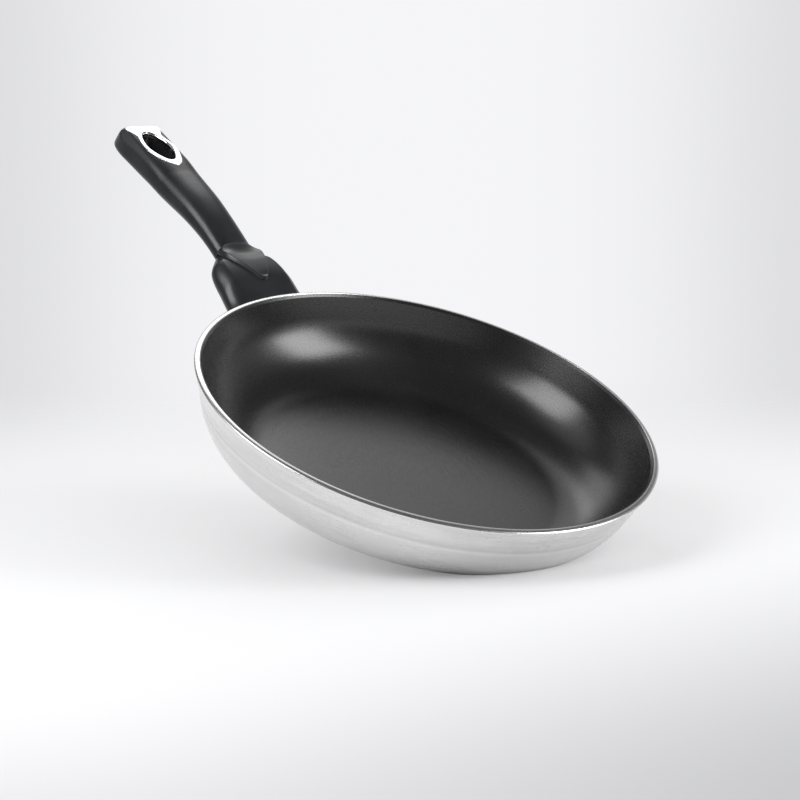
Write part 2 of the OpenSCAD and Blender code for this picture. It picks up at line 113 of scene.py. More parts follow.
def superellipse(quarters: Array, power: Array) -> tuple[Array, Array]:
    """Points of a unit superellipse, spread evenly round its corners.

    In the quarter that starts at +X the point is (1 - t, t) scaled until |x|^p + |y|^p is 1,
    and the other three quarters are turned copies.

    Args:
        quarters: How far round the points are, from 0 at +X to 4.
        power: The power p, which broadcasts against quarters.

    Returns:
        The points' x and y.
    """
    q = np.mod(quarters, 4.0)
    t = np.mod(q, 1.0)
    size = ((1.0 - t) ** power + t**power) ** (1.0 / power)
    a, b = (1.0 - t) / size, t / size
    turn = np.floor(q)
    x = np.select([turn == 0, turn == 1, turn == 2], [a, -b, -a], b)
    y = np.select([turn == 0, turn == 1, turn == 2], [b, a, -b], -a)
    return x, y


@dataclass(frozen=True)
class Table:
    """Rows of numbers that rise in their first column, with a smooth curve through each other one."""

    rows: tuple[tuple[float, ...], ...]

    def at(self, column: int, place: Array) -> Array:
        """A column's value at places along the first one.

        The curve is a cubic between rows, and its slope at a row is that of the line from the
        row before it to the row after it.

        Args:
            column: The column to read.
            place: Places along the first column.

        Returns:
            The values, shaped as place.
        """
        rows = np.array(self.rows)
        x, y = rows[:, 0], rows[:, column]
        last = len(x) - 1
        before = np.maximum(np.arange(last + 1) - 1, 0)
        after = np.minimum(np.arange(last + 1) + 1, last)
        slope = (y[after] - y[before]) / (x[after] - x[before])
        place = np.asarray(place, float)
        i = np.clip(np.searchsorted(x, place, side="right") - 1, 0, last - 1)
        step = x[i + 1] - x[i]
        u = (place - x[i]) / step
        m, n, rise = step * slope[i], step * slope[i + 1], y[i + 1] - y[i]
        return y[i] + u * (m + u * (3.0 * rise - 2.0 * m - n + u * (m + n - 2.0 * rise)))


@dataclass(frozen=True)
class Place:
    """A place on the object, turned about the Y axis."""

    origin: tuple[float, float, float]
    slope: float

    def out(self, points: Array) -> Array:
        """Points given along the place's own axes, as points of the object: turned, then moved.

        Args:
            points: The points, with their coordinates on the last axis.

        Returns:
            The points of the object, shaped alike.
        """
        a = math.radians(self.slope)
        x, y, z = points[..., 0], points[..., 1], points[..., 2]
        turned = [x * math.cos(a) + z * math.sin(a), y, z * math.cos(a) - x * math.sin(a)]
        return np.stack(turned, -1) + np.array(self.origin)

    def normal(self) -> Array:
        """Direction of the place's own Z axis."""
        a = math.radians(self.slope)
        return np.array([math.sin(a), 0.0, math.cos(a)])


# Skins


class Ends(Enum):
    """How a skin over rings of points ends."""

    CAPPED = "capped"
    JOINED = "joined"


@dataclass
class Skin:
    """Points with the four-sided and three-sided faces between them."""

    points: Array
    quads: Array
    tris: Array

    @staticmethod
    def loft(rings: Array, ends: Ends = Ends.CAPPED) -> Skin:
        """The skin over closed rings of points.

        Face (i, j) spans rings i and i + 1 and points j and j + 1. A capped end is a fan of
        triangles round the mean of its ring.

        Args:
            rings: Points as an array of rings, points in a ring and coordinates.
            ends: Whether the first and last rings are capped or joined to each other.

        Returns:
            The closed skin, with its faces turned outwards.
        """
        m, n = rings.shape[:2]
        i = np.arange(m if ends is Ends.JOINED else m - 1)[:, None]
        j = np.arange(n)[None, :]
        a, c = i * n, ((i + 1) % m) * n
        k = (j + 1) % n
        quads = np.stack([a + j, a + k, c + k, c + j], -1).reshape(-1, 4)
        points = rings.reshape(-1, 3)
        tris = np.zeros((0, 3), int)
        if ends is Ends.CAPPED:
            points = np.concatenate([points, rings[0].mean(0)[None], rings[-1].mean(0)[None]])
            j, k = np.arange(n), (np.arange(n) + 1) % n
            top = (m - 1) * n
            first = np.stack([k, j, np.full(n, m * n)], 1)
            last = np.stack([top + j, top + k, np.full(n, m * n + 1)], 1)
            tris = np.concatenate([first, last])
        return Skin(points, quads, tris).facing_out()

    @staticmethod
    def lathe(profile: Array, count: int) -> Skin:
        """A profile from the axis and back to it, turned round the Z axis.

        A point at radius r and height z goes to (r cos a, r sin a, z), and the two points on
        the axis stay single.

        Args:
            profile: Radius and height of each point, the first and last with no radius.
            count: Number of steps round the axis.

        Returns:
            The closed skin.
        """
        a = np.linspace(0.0, 2.0 * np.pi, count, endpoint=False)
        r, z = profile[1:-1, 0, None], profile[1:-1, 1, None]
        rings = np.stack([r * np.cos(a), r * np.sin(a), z + 0.0 * a], -1)
        skin = Skin.loft(rings)
        skin.points[-2:, 2] = profile[[0, -1], 1]
        return skin.facing_out()

    @staticmethod
    def prism(outline: Array, low: float, high: float) -> Skin:
        """An outline in the XY plane carried straight up.

        Args:
            outline: X and Y of each point.
            low: Height where it starts.
            high: Height where it ends.

        Returns:
            The closed skin.
        """
        level = np.ones((len(outline), 1))
        rings = [np.concatenate([outline, level * z], 1) for z in (low, high)]
        return Skin.loft(np.stack(rings))

    @staticmethod
    def joined(skins: list[Skin]) -> Skin:
        """Several skins as one.

        Args:
            skins: The skins.

        Returns:
            One skin, in which each keeps its own points.
        """
        starts = np.cumsum([0] + [len(s.points) for s in skins[:-1]])
        return Skin(
            np.concatenate([s.points for s in skins]),
            np.concatenate([s.quads + at for s, at in zip(skins, starts)]),
            np.concatenate([s.tris + at for s, at in zip(skins, starts)]),
        )

    def volume(self) -> float:
        """The volume inside.

        Returns:
            A sixth of the sum of the triangles' triple products.
        """
        tris = np.concatenate([self.quads[:, [0, 1, 2]], self.quads[:, [0, 2, 3]], self.tris])
        a, b, c = (self.points[tris[:, i]] for i in range(3))
        return float(np.einsum("ij,ij->i", a, np.cross(b, c)).sum() / 6.0)

    def facing_out(self) -> Skin:
        """Turns the faces outwards, if they aren't.

        Returns:
            This skin.
        """
        if self.volume() < 0.0:
            self.quads, self.tris = self.quads[:, ::-1], self.tris[:, ::-1]
        return self

    def at(self, place: Place) -> Skin:
        """The skin moved to a place on the object."""
        return Skin(place.out(self.points), self.quads, self.tris)

    def mesh(self, name: str, sharp_deg: float) -> bpy.types.Object:
        """A Blender object with this skin.

        Args:
            name: The object's name.
            sharp_deg: Faces that meet at a wider angle than this keep a hard edge.

        Returns:
            The object, which is at the origin with its place in its mesh.
        """
        data = bpy.data.meshes.new(name)
        faces = self.quads.tolist() + self.tris.tolist()
        data.from_pydata((self.points * METRE).tolist(), [], faces)
        smooth_by_angle(data, sharp_deg)
        return put(name, data)


def put(name: str, data: bpy.types.ID) -> bpy.types.Object:
    """A new object of the scene.

    Args:
        name: Its name.
        data: Its mesh, camera or lamp.

    Returns:
        The object.
    """
    made = bpy.data.objects.new(name, data)
    bpy.context.scene.collection.objects.link(made)
    return made


def smooth_by_angle(data: bpy.types.Mesh, sharp_deg: float) -> None:
    """Shades a mesh smooth, apart from edges where faces meet at more than an angle.

    Args:
        data: The mesh.
        sharp_deg: The angle.
    """
    data.polygons.foreach_set("use_smooth", np.ones(len(data.polygons), bool))
    data.set_sharp_from_angle(angle=math.radians(sharp_deg))
    data.update()


def cut(piece: bpy.types.Object, cutters: list[Skin], sharp_deg: float) -> bpy.types.Object:
    """Takes the space of each cutter out of a piece.

    Args:
        piece: The piece to cut.
        cutters: Closed skins that don't cross themselves.
        sharp_deg: Angle for the hard edges of the result.

    Returns:
        The piece with its new mesh and no modifiers.
    """
    tools = [c.mesh(f"cutter_{i}", sharp_deg) for i, c in enumerate(cutters)]
    for tool in tools:
        modifier = piece.modifiers.new(tool.name, "BOOLEAN")
        modifier.operation = "DIFFERENCE"
        modifier.solver = "EXACT"
        modifier.object = tool
    bpy.context.view_layer.update()
    graph = bpy.context.evaluated_depsgraph_get()
    result = bpy.data.meshes.new_from_object(piece.evaluated_get(graph))
    piece.modifiers.clear()
    old, piece.data = piece.data, result
    result.name = piece.name
    bpy.data.meshes.remove(old)
    for tool in tools:
        data = tool.data
        bpy.data.objects.remove(tool)
        bpy.data.meshes.remove(data)
    smooth_by_angle(result, sharp_deg)
    return piece


# Materials


# A span is where a value starts to count and where it counts in full. A bump is how much of a
# height shows and the depth in millimetres that a height of 1 stands for
Span = tuple[float, float]
Bump = tuple[float, float]


@dataclass(frozen=True)
class Noise:
    """Soft noise about one half: cycles a metre, along each axis or along all, detail and roughness."""

    per_m: float | tuple[float, float, float]
    detail: float = 3.0
    rough: float = 0.5


class Link:
    """A shader output that can be used in sums and products."""

    def __init__(self, sheet: Sheet, socket: bpy.types.NodeSocket) -> None:
        """Wraps a socket of a sheet of nodes."""
        self.sheet, self.socket = sheet, socket

    def _math(self, operation: str, a: Link | float, b: Link | float) -> Link:
        """A Math node on two values."""
        return self.sheet.add("ShaderNodeMath", {"operation": operation}, {0: a, 1: b})

    def __add__(self, other: Link | float) -> Link:
        """This value plus another."""
        return self._math("ADD", self, other)

    __radd__ = __add__

    def __sub__(self, other: Link | float) -> Link:
        """This value less another."""
        return self._math("SUBTRACT", self, other)

    def __rsub__(self, other: Link | float) -> Link:
        """Another value less this one."""
        return self._math("SUBTRACT", other, self)

    def __mul__(self, other: Link | float) -> Link:
        """This value times another."""
        return self._math("MULTIPLY", self, other)

    __rmul__ = __mul__

    def __pow__(self, other: Link | float) -> Link:
        """This value to a power."""
        return self._math("POWER", self, other)

    def span(self, low: float, high: float, to_low: float = 0.0, to_high: float = 1.0) -> Link:
        """This value's range from low to high spread smoothly over another range."""
        inputs = {"Value": self, "From Min": low, "From Max": high, "To Min": to_low, "To Max": to_high}
        return self.sheet.add("ShaderNodeMapRange", {"interpolation_type": "SMOOTHSTEP"}, inputs)


class Sheet:
    """The nodes of one material or world."""

    def __init__(self, tree: bpy.types.NodeTree) -> None:
        """Clears a node tree to start from."""
        tree.nodes.clear()
        self.tree = tree

    def add(
        self, kind: str, settings: dict | None = None, inputs: dict | None = None, out: int | str = 0
    ) -> Link:
        """A node of any kind.

        Args:
            kind: The node's type.
            settings: Its properties, which are set first.
            inputs: Values or links of its sockets, by name or number.
            out: The output to use.

        Returns:
            The chosen output, or the node's first one.
        """
        node = self.tree.nodes.new(kind)
        for name, value in (settings or {}).items():
            setattr(node, name, value)
        for key, value in (inputs or {}).items():
            if isinstance(value, Link):
                self.tree.links.new(value.socket, node.inputs[key])
            else:
                node.inputs[key].default_value = value
        return Link(self, node.outputs[out] if len(node.outputs) else None)

    def where(self) -> Link:
        """Coordinates on the object, in metres."""
        return self.add("ShaderNodeTexCoord", out="Object")

    def parts(self, vector: Link) -> tuple[Link, Link, Link]:
        """The three parts of a vector.

        Args:
            vector: The vector.

        Returns:
            Its X, Y and Z.
        """
        split = self.add("ShaderNodeSeparateXYZ", inputs={0: vector})
        outputs = split.socket.node.outputs
        return tuple(Link(self, outputs[i]) for i in range(3))

    def along(self, vector: Link, direction: Array) -> Link:
        """How far a vector reaches in a direction: their dot product."""
        inputs = {0: vector, 1: tuple(float(v) for v in direction)}
        return self.add("ShaderNodeVectorMath", {"operation": "DOT_PRODUCT"}, inputs, "Value")

    def vector(self, x: Link | float, y: Link | float, z: Link | float) -> Link:
        """A vector of three values."""
        return self.add("ShaderNodeCombineXYZ", inputs={0: x, 1: y, 2: z})

    def noise(self, where: Link | tuple[Link, Link, Link], noise: Noise) -> Link:
        """A noise on the object.

        Args:
            where: Where it is read: a vector, or three values that are stretched each in its own way.
            noise: Its scale, or one for each of the three values, and its detail.

        Returns:
            The noise, about one half.
        """
        scale = noise.per_m
        if isinstance(where, tuple):
            where, scale = self.vector(*(part * per_m for part, per_m in zip(where, scale))), 1.0
        inputs = {"Vector": where, "Scale": scale, "Detail": noise.detail, "Roughness": noise.rough}
        return self.add("ShaderNodeTexNoise", inputs=inputs, out="Fac")

    def blend(self, a: Link | Rgb, b: Link | Rgb, share: Link | float) -> Link:
        """A colour a share of the way from a to b."""
        # A Mix node's colours are its sockets 6 and 7 and its output 2
        a, b = (value if isinstance(value, Link) else (*value, 1.0) for value in (a, b))
        return self.add("ShaderNodeMix", {"data_type": "RGBA"}, {"Factor": share, 6: a, 7: b}, 2)

    def ray(self, kind: str) -> Link:
        """One for rays of a kind and nought for all others."""
        return self.add("ShaderNodeLightPath", out=kind)

    def mixed(self, share: Link, a: Link, b: Link) -> Link:
        """A shader a share of the way from a to b."""
        return self.add("ShaderNodeMixShader", inputs={0: share, 1: a, 2: b})

    def bump(self, *layers: tuple[Link, float, float]) -> Link:
        """A normal that is bumped by heights from 0 to 1, one over another.

        Args:
            layers: Each height, how much of it shows, and the depth in millimetres of a height of 1.

        Returns:
            The normal.
        """
        normal = None
        for height, strength, depth_mm in layers:
            inputs = {"Height": height, "Strength": strength, "Distance": depth_mm * METRE}
            if normal is not None:
                inputs["Normal"] = normal
            normal = self.add("ShaderNodeBump", inputs=inputs)
        return normal


def new_material(name: str) -> tuple[bpy.types.Material, Sheet]:
    """An empty material.

    Args:
        name: Its name.

    Returns:
        The material and its sheet of nodes.
    """
    made = bpy.data.materials.new(name)
    made.use_nodes = True
    return made, Sheet(made.node_tree)


def principled(sheet: Sheet, inputs: dict) -> None:
    """Puts a Principled shader on a sheet, with these values or links in its sockets."""
    shader = sheet.add("ShaderNodeBsdfPrincipled", inputs=inputs)
    sheet.add("ShaderNodeOutputMaterial", inputs={"Surface": shader})


def swung(level: float, *waves: tuple[Link, float]) -> Link:
    """A level with noises about one half added to it, each times its swing."""
    return sum(((noise - 0.5) * swing for noise, swing in waves), level)


class Lay(Enum):
    """Which way a metal's fine lines run."""

    TURNED = "turned"
    ALONG = "along"
    BLASTED = "blasted"


@dataclass(frozen=True)
class Shoulder:
    """How the bowl's metal changes at its shoulder.

    Below the shoulder the colour is drawn halfway to the stain colour, which there is painted
    shade, and streaks of stain run round the bowl. The lines are a painted shade line at the crease
    and a painted highlight line just under it. Each line has its colour, how strong it is and how
    far under the shoulder it runs. Sizes are in millimetres.
    """

    height: float = 35.0
    fade: float = 4.0
    # Share of the metal's own colour kept below the shoulder; the rest is the stain colour, as painted
    # shade
    belly_shade: float = 0.5
    streak: Noise = Noise((12.0, 12.0, 110.0), 4.0, 0.55)
    streaked: Span = (0.40, 0.62)
    streak_most: float = 0.8
    # A painted shade line at the crease and a painted highlight line 2.2 mm under it: colour, strength,
    # millimetres under the shoulder
    lines: tuple[tuple[Rgb, float, float], ...] = (
        ((0.50, 0.50, 0.495), 0.24, 0.0),
        ((0.90, 0.895, 0.89), 0.30, 2.2),
    )
    painted_line_half: float = 1.5

    def over(self, sheet: Sheet, colour: Link, stain_and_shade: Rgb, spot: tuple[Link, Link, Link], z: Link) -> Link:
        """The metal's colour with the streaks, the painted shade below the shoulder and the painted shade
        and highlight lines.

        A line is strongest at its middle and fades with the square of the distance from it.

        Args:
            sheet: The metal's sheet.
            colour: Its colour so far.
            stain_and_shade: Its colour where it is stained, and the painted shade below the shoulder.
            spot: Where the streaks are read: X, Y and the way along the profile.
            z: Height on the object in metres.

        Returns:
            The colour.
        """
        streak = sheet.noise(spot, self.streak)
        colour = sheet.blend(colour, stain_and_shade, streak.span(*self.streaked, 0.0, self.streak_most))
        # Below the shoulder the colour is drawn towards the stain colour: painted shade
        rise, fade = z - self.height * METRE, self.fade * METRE
        colour = sheet.blend(stain_and_shade, colour, rise.span(-fade, fade, self.belly_shade, 1.0))
        # Paints the shade line and the highlight line round the crease
        for tint, most, under in self.lines:
            off = rise + under * METRE
            faded = (off * off).span(0.0, (self.painted_line_half * METRE) ** 2, 1.0 - most, 1.0)
            colour = sheet.blend(colour, tint, 1.0 - faded)
        return colour


@dataclass(frozen=True)
class Metal:
    """Bare metal with the fine lines that its making leaves, stains and a few scratches."""

    name: str
    tint: Rgb
    stain_and_shade: Rgb
    rough: float
    rough_swing: float
    lay: Lay
    line_per_m: float = 2600.0
    line_rough: float = 0.6
    line_depth_mm: float = 0.03
    line_strength: float = 0.25
    scratch: float = 0.15
    shoulder: Shoulder | None = None
    round_per_m: float = 6.0
    along_per_m: float = 25.0
    cloud: Noise = Noise(24.0, 4.0, 0.55)
    patch: Noise = Noise(90.0)
    mark: Noise = Noise((90.0, 900.0, 420.0), 2.0)
    marked: Span = (0.70, 0.74)
    mark_depth_mm: float = 0.02
    stained: Span = (0.42, 0.72)
    stain_most: float = 0.55

    def make(self) -> bpy.types.Material:
        """Builds the material.

        The lines are a noise that changes slowly along them and fast across them. On a turned
        piece they run round its axis, and across them is the radius plus the height.

        Returns:
            The material.
        """
        made, sheet = new_material(self.name)
        where = sheet.where()
        x, y, z = sheet.parts(where)
        across, slow = self.line_per_m, self.round_per_m
        lane = (x * x + y * y) ** 0.5 + z if self.lay is Lay.TURNED else z
        per_m = {
            Lay.TURNED: (slow, slow, across),
            Lay.ALONG: (self.along_per_m, across, across),
            Lay.BLASTED: (across, across, across),
        }
        lines = sheet.noise((x, y, lane), Noise(per_m[self.lay], rough=self.line_rough))
        cloud = sheet.noise(where, self.cloud)
        patch = sheet.noise(where, self.patch)
        marks = sheet.noise((x, y, z), self.mark).span(*self.marked)
        colour = sheet.blend(self.tint, self.stain_and_shade, cloud.span(*self.stained, 0.0, self.stain_most))
        # On the bowl the shoulder adds streaks, painted shade below it, and a painted shade line and a
        # painted highlight line at its crease
        if self.shoulder:
            colour = self.shoulder.over(sheet, colour, self.stain_and_shade, (x, y, lane), z)
        swing = self.rough_swing
        rough = swung(self.rough, (lines, swing), (cloud, swing), (patch, swing / 2.0))
        rough = rough + marks * (self.scratch / 2.0)
        normal = sheet.bump(
            (lines, self.line_strength, self.line_depth_mm), (marks, self.scratch, self.mark_depth_mm)
        )
        principled(sheet, {"Base Color": colour, "Metallic": 1.0, "Roughness": rough, "Normal": normal})
        return made


@dataclass(frozen=True)
class Coating:
    """Sprayed non-stick coating: near black, with a fine grain, pale specks and worn, wiped areas."""

    name: str = "coating"
    tint: Rgb = (0.006, 0.006, 0.0065)
    worn: Rgb = (0.012, 0.012, 0.0125)
    speck: Rgb = (0.10, 0.105, 0.11)
    rough: float = 0.27
    ior: float = 1.8
    grain: Noise = Noise(1500.0, 2.0, 0.6)
    grain_swing: float = 0.16
    grain_bump: Bump = (0.35, 0.03)
    peel: Noise = Noise(420.0, 2.0)
    peel_bump: Bump = (0.18, 0.06)
    wipe: Noise = Noise((5.0, 5.0, 160.0), 3.0, 0.6)
    wipe_swing: float = 0.03
    wipe_share: float = 0.2
    cloud: Noise = Noise(16.0)
    cloud_swing: float = 0.10
    wear: Span = (0.35, 0.65)
    chance: Noise = Noise(700.0, 1.0)
    chosen: Span = (0.56, 0.66)
    speck_per_m: float = 1300.0
    speck_edge: Span = (0.12, 0.26)
    speck_most: float = 0.55

    def make(self) -> bpy.types.Material:
        """Builds the material.

        Specks are the middles of Voronoi cells, where chance has chosen them.

        Returns:
            The material.
        """
        made, sheet = new_material(self.name)
        where = sheet.where()
        x, y, _ = sheet.parts(where)
        grain = sheet.noise(where, self.grain)
        peel = sheet.noise(where, self.peel)
        wiped = sheet.noise((x, y, (x * x + y * y) ** 0.5), self.wipe)
        cloud = sheet.noise(where, self.cloud)
        spots = {"Vector": where, "Scale": self.speck_per_m}
        cell = sheet.add("ShaderNodeTexVoronoi", {"feature": "F1"}, spots, "Distance")
        chance = sheet.noise(where, self.chance).span(*self.chosen)
        specks = (1.0 - cell.span(*self.speck_edge)) * chance
        wear = (cloud * (1.0 - self.wipe_share) + wiped * self.wipe_share).span(*self.wear)
        colour = sheet.blend(self.tint, self.worn, wear)
        colour = sheet.blend(colour, self.speck, specks * self.speck_most)
        rough = swung(
            self.rough, (grain, self.grain_swing), (wiped, self.wipe_swing), (cloud, self.cloud_swing)
        )
        normal = sheet.bump((peel, *self.peel_bump), (grain, *self.grain_bump))
        principled(sheet, {"Base Color": colour, "Roughness": rough, "Normal": normal, "IOR": self.ior})
        return made


@dataclass(frozen=True)
class Moulding:
    """Satin black moulded plastic with a fine grain and soft rub marks where it is held."""

    name: str = "moulding"
    tint: Rgb = (0.009, 0.0098, 0.0118)
    rubbed: Rgb = (0.016, 0.0172, 0.0198)
    rough: float = 0.33
    ior: float = 1.7
    grain: Noise = Noise(2200.0, 2.0, 0.6)
    grain_swing: float = 0.12
    grain_bump: Bump = (0.22, 0.03)
    swirl: Noise = Noise((18.0, 60.0, 60.0), 4.0, 0.55)
    swirl_swing: float = 0.08
    rub: Noise = Noise(34.0)
    rub_swing: float = 0.12
    worn: Span = (0.38, 0.66)
    hair: Noise = Noise((160.0, 1400.0, 900.0), 2.0)
    haired: Span = (0.69, 0.75)
    hair_rough: float = 0.06
    hair_bump: Bump = (0.08, 0.02)

    def make(self) -> bpy.types.Material:
        """Builds the material.

        Returns:
            The material.
        """
        made, sheet = new_material(self.name)
        where = sheet.where()
        parts = sheet.parts(where)
        grain = sheet.noise(where, self.grain)
        swirl = sheet.noise(parts, self.swirl)
        rub = sheet.noise(where, self.rub)
        hairs = sheet.noise(parts, self.hair).span(*self.haired)
        colour = sheet.blend(self.tint, self.rubbed, (rub * 0.5 + swirl * 0.5).span(*self.worn))
        rough = swung(
            self.rough, (grain, self.grain_swing), (rub, self.rub_swing), (swirl, self.swirl_swing)
        )
        rough = rough + hairs * self.hair_rough
        normal = sheet.bump((grain, *self.grain_bump), (hairs, *self.hair_bump))
        principled(sheet, {"Base Color": colour, "Roughness": rough, "Normal": normal, "IOR": self.ior})
        return made


@dataclass(frozen=True)
class Gloss:
    """Polished black plastic with dust-fine haze."""

    name: str = "liner_gloss"
    tint: Rgb = (0.008, 0.008, 0.009)
    hazed: Rgb = (0.016, 0.016, 0.018)
    rough: float = 0.14
    haze: Noise = Noise(120.0, 4.0, 0.6)
    haze_swing: float = 0.14
    hazy: Span = (0.4, 0.7)
    fine: Noise = Noise(1800.0, 2.0)
    fine_swing: float = 0.06
    fine_bump: Bump = (0.08, 0.02)

    def make(self) -> bpy.types.Material:
        """Builds the material.

        Returns:
            The material.
        """
        made, sheet = new_material(self.name)
        where = sheet.where()
        haze = sheet.noise(where, self.haze)
        fine = sheet.noise(where, self.fine)
        colour = sheet.blend(self.tint, self.hazed, haze.span(*self.hazy))
        rough = swung(self.rough, (haze, self.haze_swing), (fine, self.fine_swing))
        normal = sheet.bump((fine, *self.fine_bump))
        principled(sheet, {"Base Color": colour, "Roughness": rough, "Normal": normal})
        return made


Finish = Metal | Coating | Moulding | Gloss


@dataclass(frozen=True)
class Finishes:
    """Every finish of the pan, each under its own name."""

    bowl: Metal = Metal(
        name="bowl_metal",
        tint=(0.85, 0.845, 0.84),
        stain_and_shade=(0.73, 0.725, 0.72),
        rough=0.28,
        rough_swing=0.12,
        lay=Lay.TURNED,
        scratch=0.06,
        shoulder=Shoulder(),
    )
    coating: Coating = Coating()
    plate: Metal = Metal(
        name="plate_steel",
        tint=(0.66, 0.655, 0.645),
        stain_and_shade=(0.54, 0.53, 0.515),
        rough=0.34,
        rough_swing=0.16,
        lay=Lay.TURNED,
        line_per_m=1800.0,
        line_depth_mm=0.04,
        line_strength=0.4,
    )
    lug: Metal = Metal(
        name="lug_steel",
        tint=(0.58, 0.575, 0.565),
        stain_and_shade=(0.44, 0.43, 0.415),
        rough=0.42,
        rough_swing=0.18,
        lay=Lay.ALONG,
        line_per_m=1200.0,
        line_depth_mm=0.04,
        line_strength=0.35,
    )
    moulding: Moulding = Moulding()
    ring: Metal = Metal(
        name="ring_chrome",
        tint=(0.93, 0.935, 0.945),
        stain_and_shade=(0.90, 0.905, 0.92),
        rough=0.09,
        rough_swing=0.04,
        lay=Lay.BLASTED,
        line_per_m=900.0,
        line_depth_mm=0.01,
        line_strength=0.05,
        scratch=0.04,
    )
    liner: Gloss = Gloss()
    screw: Metal = Metal(
        name="screw_steel",
        tint=(0.62, 0.62, 0.62),
        stain_and_shade=(0.50, 0.49, 0.48),
        rough=0.30,
        rough_swing=0.14,
        lay=Lay.BLASTED,
        line_per_m=1500.0,
    )


@dataclass
class Dresser:
    """Gives pieces their finish and their body, and hides the CAD nodes that new pieces stand for."""

    finishes: Finishes
    nodes: dict[str, bpy.types.Object]
    made: dict[str, bpy.types.Material] = field(default_factory=dict)
    weld_mm: float = 0.001
    edge_steps: int = 2
    edge_deg: float = 35.0

    def paint(self, piece: bpy.types.Object, finish: Finish) -> None:
        """Gives a piece the material of a finish, which is built once.

        Args:
            piece: The piece.
            finish: The finish.
        """
        if finish.name not in self.made:
            self.made[finish.name] = finish.make()
        piece.data.materials.clear()
        piece.data.materials.append(self.made[finish.name])

    def dress(self, piece: bpy.types.Object, finish: Finish, node: str) -> None:
        """Dresses a new piece that takes the place of a CAD node.

        Args:
            piece: The new piece.
            finish: Its finish.
            node: The CAD node that it stands for.
        """
        self.paint(piece, finish)
        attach(piece, BODY)
        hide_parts(node)
        LOG.info("%s: %d faces in place of %s", piece.name, len(piece.data.polygons), node)

    def keep(self, node: str, finish: Finish, edge_mm: float) -> None:
        """Dresses a CAD node that stays, and rounds its edges.

        Args:
            node: The node.
            finish: Its finish.
            edge_mm: Width of the rounding along its edges.
        """
        piece = self.nodes[node]
        self.paint(piece, finish)
        weld = piece.modifiers.new("weld", "WELD")
        weld.merge_threshold = self.weld_mm * METRE
        bevel = piece.modifiers.new("edges", "BEVEL")
        bevel.width, bevel.segments = edge_mm * METRE, self.edge_steps
        bevel.limit_method, bevel.angle_limit = "ANGLE", math.radians(self.edge_deg)
        bevel.harden_normals = True
        LOG.info("%s: kept, edges rounded over %.2f mm", node, edge_mm)


# The bowl


